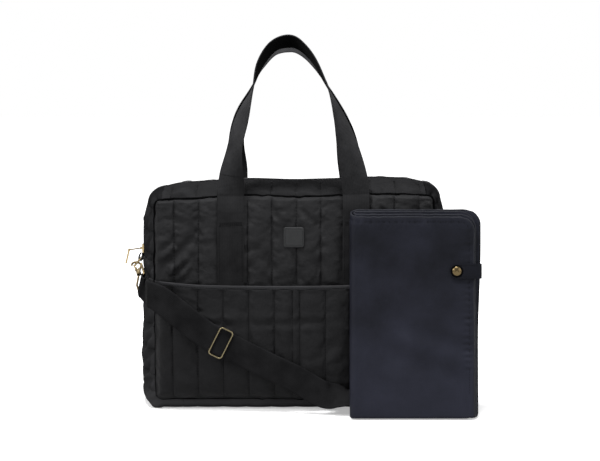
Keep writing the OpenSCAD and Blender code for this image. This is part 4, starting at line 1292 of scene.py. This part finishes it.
def make_ring_tab(x_side, side_name):
    """Short webbing loop round the D-ring's straight bar, sewn to the side."""
    r = TAB_R - WEB_T / 2
    close = 1.05 * r
    turn = np.radians(np.linspace(180, 360, 19))
    up = np.linspace(0, 1, 9)
    path = np.concatenate([stack(BAR_X - r, BAR_Z + TAB_H * up)[:0:-1],
                           stack(BAR_X + r * np.cos(turn), BAR_Z + r * np.sin(turn)),
                           stack(BAR_X + r - close * up ** 2, BAR_Z + TAB_H * up)[1:]])
    centres = stack(x_side * path[:, 0], 0, path[:, 1])
    across = everywhere((0, 1, 0), centres)
    face = unit(np.cross(across, slope_of(centres)))
    carry(band_piece(side_name + "_ring_tab_loop", centres, across, face, TAB_W),
          "bag", side_name + "_ring_tab")
    rows = []
    for rise in (3.6, 5.4):
        y = np.linspace(-TAB_W / 2 + 2, TAB_W / 2 - 2, 12)
        x = BAR_X + r - close * (rise / TAB_H) ** 2 + WEB_T / 2 + THREAD_LIFT
        line = stack(x_side * x, y, BAR_Z + rise)
        rows.append(stitch_parts(line, (x_side, 0, 0), 2.0, 2.4, 0.36))
    stitched(side_name + "_ring_tab_stitches", rows, "webbing", "bag")


for x_side, side_name in SIDES:
    make_ring_tab(x_side, side_name)

LOOP_R = WIRE_R + PLAY + WEB_T / 2
ADJ_R = 1.2
ADJ_LEVEL = WEB_T / 2 + SEAT + ADJ_R
POCKET_OUT = SEAT + POCKET_ROOM + POCKET_T + PUFF
STRAP_Y = -(SEAM_Y + RIM + CROWN + PUFF + POCKET_OUT + ADJ_LEVEL + ADJ_R + SEAT)
ADJ_X, ADJ_Z, SLOPE = 92, 91.5, 0.5
EDGE_X = PANEL_W / 2
ON_LEFT = np.array([-1, 1, 1.0])
LEFT_EYE = EYE_BAR * ON_LEFT
FRONT_EDGE = SEAM_Y + RIM


def run_z(x):
    return ADJ_Z - SLOPE * (x + ADJ_X)


ROUTE = [(LEFT_EYE + LOOP_R * HOOK_SIDE * ON_LEFT, HOOK_SIDE * ON_LEFT),
         (LEFT_EYE + (LOOP_R * HOOK_SIDE + 6 * HOOK_DIR) * ON_LEFT, HOOK_SIDE * ON_LEFT),
         ((-EDGE_X - 12.5, -FRONT_EDGE + 17, 151), (-0.9, -0.45, 0)),
         ((-EDGE_X - 8, -FRONT_EDGE - 10, 151), (-0.75, -0.75, 0)),
         ((-EDGE_X + 6, STRAP_Y + 4, 147), (-0.25, -1, 0)),
         ((-150, STRAP_Y, 132), (0, -1, 0)), ((-125, STRAP_Y, 112), (0, -1, 0))]
ROUTE += [((x, STRAP_Y, run_z(x)), (0, -1, 0)) for x in (-ADJ_X - 14, -ADJ_X, -ADJ_X + 30, -ADJ_X + 62)]
ROUTE += [((0, STRAP_Y, 46), (0, -1, 0)), ((36, STRAP_Y - 2, 26), (0, -0.97, 0.2)),
          ((55, STRAP_Y - 1, 23.5), (0, -0.77, 0.64)), ((70, STRAP_Y - 1, 21.5), (0, -0.42, 0.9)),
          ((88, STRAP_Y, 24), (0, -0.3, 0.95)), ((108, STRAP_Y, 42), (0, -0.6, 0.75)),
          ((128, STRAP_Y + 1, 78), (0, -1, 0.1)), ((150, STRAP_Y + 3, 108), (0, -1, 0)),
          ((EDGE_X - 6, STRAP_Y + 8, 134), (0.25, -1, 0)),
          ((EDGE_X + 8, -FRONT_EDGE - 10, 147), (0.75, -0.75, 0)),
          ((EDGE_X + 12.5, -FRONT_EDGE + 17, 151), (0.9, -0.45, 0)),
          (EYE_BAR + LOOP_R * HOOK_SIDE + 6 * HOOK_DIR, HOOK_SIDE),
          (EYE_BAR + LOOP_R * HOOK_SIDE, HOOK_SIDE)]
ROUTE_AT = np.array([p for p, _ in ROUTE], float)
ROUTE_FACE = np.array([q for _, q in ROUTE], float)
ROUTE_END = len(ROUTE) - 1


def strap_stations(u):
    along = unit(smooth_pick(u + 0.01, ROUTE_AT) - smooth_pick(u - 0.01, ROUTE_AT))
    along = np.where((u <= 0.01)[:, None], HOOK_DIR * ON_LEFT,
                     np.where((u >= ROUTE_END - 0.01)[:, None], -HOOK_DIR, along))
    face = smooth_pick(u, ROUTE_FACE)
    face = unit(face - (face * along).sum(1, keepdims=True) * along)
    return smooth_pick(u, ROUTE_AT), np.cross(along, face), face


def inner_stations(u, d):
    """The doubled layer lies close under the outer one, except round the eye bar."""
    at, across, face = strap_stations(u)
    gap = WEB_T + SEAT + (2 * LOOP_R - WEB_T - SEAT) * (1 - np.clip((d - 0.8) / 1.6, 0, 1)) ** 2
    return at - face * gap[:, None], across, -face


def eye_stations(eye, side, degrees):
    a = np.radians(degrees)[:, None]
    on_side = np.array([side, 1, 1.0])
    n = (-np.cos(a) * HOOK_DIR + np.sin(a) * HOOK_SIDE) * on_side
    return eye + LOOP_R * n, everywhere(-HOOK_UP * on_side, n), n


def make_strap():
    left = np.linspace(8 - 0.08, 0.3, 70)
    right = np.linspace(ROUTE_END - 0.3, ROUTE_END - 2.6, 28)
    runs = [inner_stations(left, left),
            eye_stations(LEFT_EYE, -1, np.linspace(-80, 80, 15)),
            strap_stations(np.linspace(0.15, ROUTE_END - 0.15, 220)),
            eye_stations(EYE_BAR, 1, np.linspace(80, -80, 15)),
            inner_stations(right, ROUTE_END - right)]
    centres, across, face = (np.concatenate([r[k] for r in runs]) for k in range(3))
    carry(band_piece("strap_band", centres, across, face), "bag", "strap_webbing")
    rows = []
    for d in (2.2, 2.35, 2.5):
        at, across, face = (a[0] for a in strap_stations(np.full(2, ROUTE_END - d)))
        line = at + across * np.linspace(-14, 14, 20)[:, None] + face * (WEB_T / 2 + THREAD_LIFT)
        rows.append(stitch_parts(line, face, 2.2, 2.5, 0.4))
    stitched("strap_stitches", rows, "webbing", "bag")


make_strap()


def make_adjuster():
    """Wire frame with round corners over the strap, and a bar that passes under it."""
    along = unit(np.array([1.0, 0, -SLOPE]))
    across = np.array([-along[2], 0, along[0]])
    out = np.array([0, -1.0, 0])
    place = np.array([-ADJ_X, STRAP_Y, ADJ_Z])
    half_w, half_l = WEB_W / 2 + 0.4 + ADJ_R, 10 - ADJ_R
    wire = round_profile(0.95, 12)
    ring = round_corners(half_l, half_w, 3.6, 9)
    line = place + ring[:, :1] * along + ring[:, 1:] * across + ADJ_LEVEL * out
    facing = everywhere(out, line)
    points, groups, _ = sweep_parts(line, unit(np.cross(ring_slope(line), facing)), facing, wire, True)
    turn = np.radians(np.linspace(10, 90, 8))
    down = np.concatenate([np.linspace(0.9, -0.2, 8), -0.2 - 0.8 * np.sin(turn)])
    inset = np.concatenate([np.zeros(8), 2.2 * (1 - np.cos(turn))])
    leg = stack(half_w - inset, down * ADJ_LEVEL)
    bar = np.concatenate([leg, leg[::-1] * np.array([-1, 1])])
    line = place + bar[:, :1] * across + bar[:, 1:] * out
    facing = everywhere(along, line)
    more, bar_groups, _ = sweep_parts(line, unit(np.cross(slope_of(line), facing)), facing, wire)
    groups = groups + [g + len(points) for g in bar_groups]
    piece = make_piece("adjuster_frame", np.concatenate([points, more]), groups, PALE_BRASS, "brass")
    carry(piece, "strap_adjuster", "strap_adjuster")


make_adjuster()


# ---------------------------------------------------------------- changing mat
MAT_W, MAT_H, LEAF_T, LEAF_GAP, LEAF_STEP, MAT_CORNER = 155, 251, 3.6, 0.4, 6, 18
MAT_X, MAT_TAB_Z, MAT_TAB_H, MAT_TAB_REACH = 70, 184, 19, 39
PAIR_T = 2 * LEAF_T + LEAF_GAP
STACK_T = 2 * PAIR_T + LEAF_GAP
MAT_STAND, MAT_REST, POCKET_TOUCH_Z = 20, 0.6, 161
MAT_FOOT = -STRAP_Y + MAT_STAND
POCKET_TOUCH = panel_face(0, POCKET_HI) + POCKET_OUT + MAT_REST
LEG_TOUCH = panel_face(LEG_X - WEB_W / 2, MAT_H) + SEAT + WEB_T + MAT_REST
LEAN = min(math.atan((MAT_FOOT - POCKET_TOUCH) / POCKET_TOUCH_Z),
           math.atan((MAT_FOOT - LEG_TOUCH) / (MAT_H + LEAF_STEP)))
LEAN_COS, LEAN_SIN = math.cos(LEAN), math.sin(LEAN)
MAT_DROP = PAIR_T / 2 * (LEAN_SIN + LEAN_COS - 1)
MAT_OUT, MAT_UP = np.array([0, -LEAN_COS, LEAN_SIN]), np.array([0, LEAN_SIN, LEAN_COS])


def on_mat(points):
    """From the mat's own frame, with its back face at y = 0, to where it leans."""
    x, y, z = points[..., 0], points[..., 1], points[..., 2]
    return stack(MAT_X + STACK_T / 2 + x, -MAT_FOOT + y * LEAN_COS + z * LEAN_SIN,
                 -MAT_DROP - y * LEAN_SIN + z * LEAN_COS)


FOLD_R1 = (LEAF_T + LEAF_GAP) / 2
FOLD_R2 = (PAIR_T + LEAF_GAP) / 2
HEM_INSET = 5.5


def fold_sheet(u, v, lift):
    """A flat sheet folded over at its foot and then at its left side.

    u runs across and v along the sheet, lift is the way out from its middle surface.
    """
    a = np.clip(v / FOLD_R1, -np.pi / 2, np.pi / 2)
    rest = np.abs(v) - np.pi / 2 * FOLD_R1
    h = np.where(rest > 0, FOLD_R1 + rest, FOLD_R1 * (1 - np.cos(a))) - lift * np.cos(a)
    # Pressed flat, so the fold is squarer than a half circle
    o = (FOLD_R1 + lift) * np.sign(a) * np.abs(np.sin(a)) ** 0.5
    b = np.clip(u / FOLD_R2, -np.pi / 2, np.pi / 2)
    beyond = np.maximum(0, np.abs(u) - np.pi / 2 * FOLD_R2)
    x = beyond - (FOLD_R2 + o) * np.cos(b)
    y = (FOLD_R2 + o) * np.sin(b)
    return stack(x, y - STACK_T / 2, h + LEAF_T / 2)


MAT_FOLDS = (((30, 108), (165, 56), 9.0, 1.5), ((78, 132), (160, 96), 9.0, 0.7),
             ((10, 64), (92, 40), 10.0, 0.8), ((74, 262), (96, 222), 5.0, 1.4))
LEAF_SPREAD = np.array([-4.2, -2.6, -0.9, 0.0])
LEAF_RISE = (0.0, 3.4, 7.4, 9.6)


def mat_shape(points, u, v):
    """Soft bends of the whole stack, and leaves that open a little at the top and right."""
    x, h = points[..., 0], points[..., 2]
    bend = 3.4 * bell(x - 62, 46) * bell(h - 95, 62) - 1.6 * bell(x - 30, 40) * bell(h - 175, 60)
    bend = folded(bend + 1.1 * noise(x / 70 + 0.4 * h / 70, h / 85, 121), x, h, MAT_FOLDS)
    free = ease(h / 60) * ease((MAT_H + 8 - h) / 40) * ease((x + 8) / 30) * ease((166 - x) / 30)
    leaf = np.where(u < 0, np.where(v > 0, 0, 1), np.where(v > 0, 3, 2))
    at_right = ease((x - 105) / 45) * ease((h - 20) / 60) * ease((165 - h) / 40)
    points[..., 1] += bend * free + LEAF_SPREAD[leaf] * (ease((h - 206) / 42) + 0.3 * at_right)
    return points


def near_folds(count):
    """Places from -1 to 1, closer together near the fold at 0, so that it stays round."""
    p = np.linspace(-1, 1, count)
    return np.sign(p) * (0.15 * np.abs(p) ** 3 + 0.85 * np.abs(p) ** 1.3)


def make_mat():
    half_u = MAT_W - STACK_T / 2 + np.pi / 2 * FOLD_R2
    half_v = MAT_H - FOLD_R1 - LEAF_T / 2 + np.pi / 2 * FOLD_R1
    pp, qq = np.meshgrid(near_folds(152), near_folds(300), indexing="ij")
    back = ease((pp + 0.06) / 0.12)
    up = ease((qq + 0.02) / 0.04)
    front_h = LEAF_RISE[1] + (LEAF_RISE[0] - LEAF_RISE[1]) * up
    back_h = LEAF_RISE[2] + (LEAF_RISE[3] - LEAF_RISE[2]) * up
    front_w = 2.0 - 2.0 * up
    back_w = 3.0 + 2.4 * up + 3.6 * ease((np.abs(qq) - 0.35) / 0.5) * up - 1.5 * (1 - up)
    end_v = half_v + (1 - back) * front_h + back * back_h
    v = qq * end_v
    short = np.maximum(0, np.abs(v) - end_v + MAT_CORNER)
    corner = np.sqrt(np.maximum(0.5, MAT_CORNER ** 2 - short ** 2))
    end_u = half_u + (1 - back) * front_w + back * back_w - MAT_CORNER + corner
    u = pp * end_u
    edge_u, edge_v = end_u - np.abs(u), end_v - np.abs(v)
    edge = np.minimum(edge_u, edge_v)
    along = np.where(edge_u < edge_v, v, u)
    hem = bell(edge - HEM_INSET, 2.0)
    pucker = noise(along / 4.6, 2.5 * np.sign(u), 131) + 0.8 * np.sin(2 * np.pi * along / 7.8)
    pucker = 0.8 * pucker * ease((np.abs(v) - 45) / 40) * bell(edge - 7.5, 4)
    plump = LEAF_T / 2 * (0.42 + 0.58 * ease((edge - 0.2) / 3)) - 0.95 * hem
    plump = np.clip(plump + pucker, 0.4, LEAF_T / 2 + 0.7)
    sway = 0.35 * noise(along / 7, 0 * along, 133) * np.exp(-edge / 6)
    grids = []
    for lift in (plump, -plump):
        grid = mat_shape(fold_sheet(u, v, lift), u, v)
        grid[..., 2] += sway
        grids.append(on_mat(grid))
    piece = sheet_piece("mat_folded_sheet", *grids, MAT, "mat_fabric")
    carry(piece, "changing_mat", "mat_sheet")
    # Bound edge all round the sheet
    rim = rim_loop(*u.shape)
    top_side, low_side = (grid.reshape(-1, 3)[rim] for grid in grids)
    line = (top_side + low_side) / 2
    keep = np.linalg.norm(np.roll(line, -1, 0) - line, axis=1) > 0.25
    line, facing = line[keep], unit(top_side - low_side)[keep]
    slope = ring_slope(line)
    facing = unit(facing - (facing * slope).sum(1, keepdims=True) * slope)
    bound = sweep_piece("mat_edge_binding", line, np.cross(slope, facing), facing,
                        round_profile(1.25, 8), MAT_EDGE, "mat_fabric", closed=True)
    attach(bound, "changing_mat")
    # Hem stitching on the front leaf
    turn = np.radians(np.linspace(0, 90, 12))
    r, turn_u, turn_v = MAT_CORNER - HEM_INSET, MAT_CORNER - half_u, half_v - MAT_CORNER
    right = stack(HEM_INSET - half_u, np.linspace(30, turn_v, 90))
    corner = stack(turn_u - r * np.cos(turn), turn_v + r * np.sin(turn))
    top = stack(np.linspace(turn_u, -14, 60), half_v - HEM_INSET)
    u, v = np.concatenate([right, corner[1:], top[1:]]).T
    line = on_mat(mat_shape(fold_sheet(u, v, LEAF_T / 2 * 0.55), u, v))
    rows = [stitch_parts(line, MAT_OUT, 2.4, 3.2, 0.3)]
    stitched("mat_hem_stitches", rows, "mat_fabric", "changing_mat")


make_mat()


TAB_T, TAB_GAP = 1.4, 1.2


def make_tab():
    """Closing tab: a folded strip from the mat's back edge round to its front."""
    tab_x = MAT_W - STACK_T / 2 + LEAF_STEP + 2.6 + SEAT + TAB_T
    x_mid, y_mid = tab_x - TAB_T / 2, -STACK_T - TAB_GAP - TAB_T / 2
    r, tip = 3.2, 7
    turn = np.radians(np.linspace(0, 90, 12))
    back = np.linspace(-1.2, y_mid + r, 16)
    front = np.linspace(x_mid - r, tab_x - MAT_TAB_REACH + TAB_T / 2, 34)
    path = np.concatenate([stack(x_mid, back),
                           stack(x_mid - r + r * np.cos(turn), y_mid + r - r * np.sin(turn))[1:],
                           stack(front, y_mid)[1:]])
    run = run_along(path)
    end = run[-1] - run
    narrow = np.sqrt(np.maximum(0.02, 1 - ((tip - end) / tip) ** 2)) * 0.55 + 0.45
    half = MAT_TAB_H / 2 * np.where(end < tip, narrow, 1)
    w = np.linspace(-1, 1, 15)
    along = slope_of(path)
    normal = stack(-along[:, 1], along[:, 0])
    edge = np.minimum((1 - np.abs(w))[None] * half[:, None], end[:, None] + 0.3)
    thick = TAB_T / 2 * (0.55 + 0.45 * ease(edge / 1.4)) - 0.16 * bell(edge - 2.4, 0.6)
    grids = []
    for offset in (thick, -thick):
        x, y = (path[:, c:c + 1] + normal[:, c:c + 1] * offset for c in range(2))
        grids.append(on_mat(stack(x, y, MAT_TAB_Z + w[None] * half[:, None])))
    piece = sheet_piece("mat_tab_strip", *grids, MAT_TAB, "mat_fabric")
    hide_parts("mat_tab_root", "mat_tab_flap")
    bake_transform(piece)
    keep = (path[:, 0] < x_mid - r - 2) & (end > tip - 1)
    (x, y), inset = path[keep].T, half[keep] - 2.4
    rows = [stitch_parts(on_mat(stack(x, y - TAB_T / 2, MAT_TAB_Z + sign * inset)),
                         MAT_OUT, 1.9, 2.6, 0.24) for sign in (-1, 1)]
    stitched("mat_tab_stitches", rows, "mat_fabric", "mat_tab")


make_tab()


def make_snap_collar():
    """Dark collar on the tab, round the snap's cap."""
    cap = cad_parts["snap_cap"]
    points = np.array([cap.matrix_world @ v.co for v in cap.data.vertices]) / MM
    mid = (points.min(0) + points.max(0)) / 2
    face = on_mat(np.array([0.0, -STACK_T - TAB_GAP - TAB_T, 0.0]))
    mid = mid - ((mid - face) @ MAT_OUT - 0.15) * MAT_OUT
    a = np.linspace(0, 2 * np.pi, 48, endpoint=False)[:, None]
    radial = np.cos(a) * np.array([1.0, 0, 0]) + np.sin(a) * MAT_UP
    flat = round_profile(1.0) * np.array([1.3, 0.5])
    piece = sweep_piece("snap_collar", mid + 6.6 * radial, radial, everywhere(MAT_OUT, radial), flat,
                        SEAM_SHADE_AND_COLLAR, "mat_fabric", closed=True)
    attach(piece, "mat_tab")


make_snap_collar()

# ---------------------------------------------------------------- metal pieces of the frame
metal = ["zip_slider", "zip_link", "zip_pull", "snap_cap", "snap_socket", "snap_stud"]
for _, side_name in SIDES:
    metal += [f"{side_name}_{part}" for part in ("d_ring", "hook_eye", "hook_body", "hook_gate")]
for name in metal:
    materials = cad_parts[name].data.materials
    materials.clear()
    materials.append(DULL_BRASS if name == "snap_cap" else BRASS)
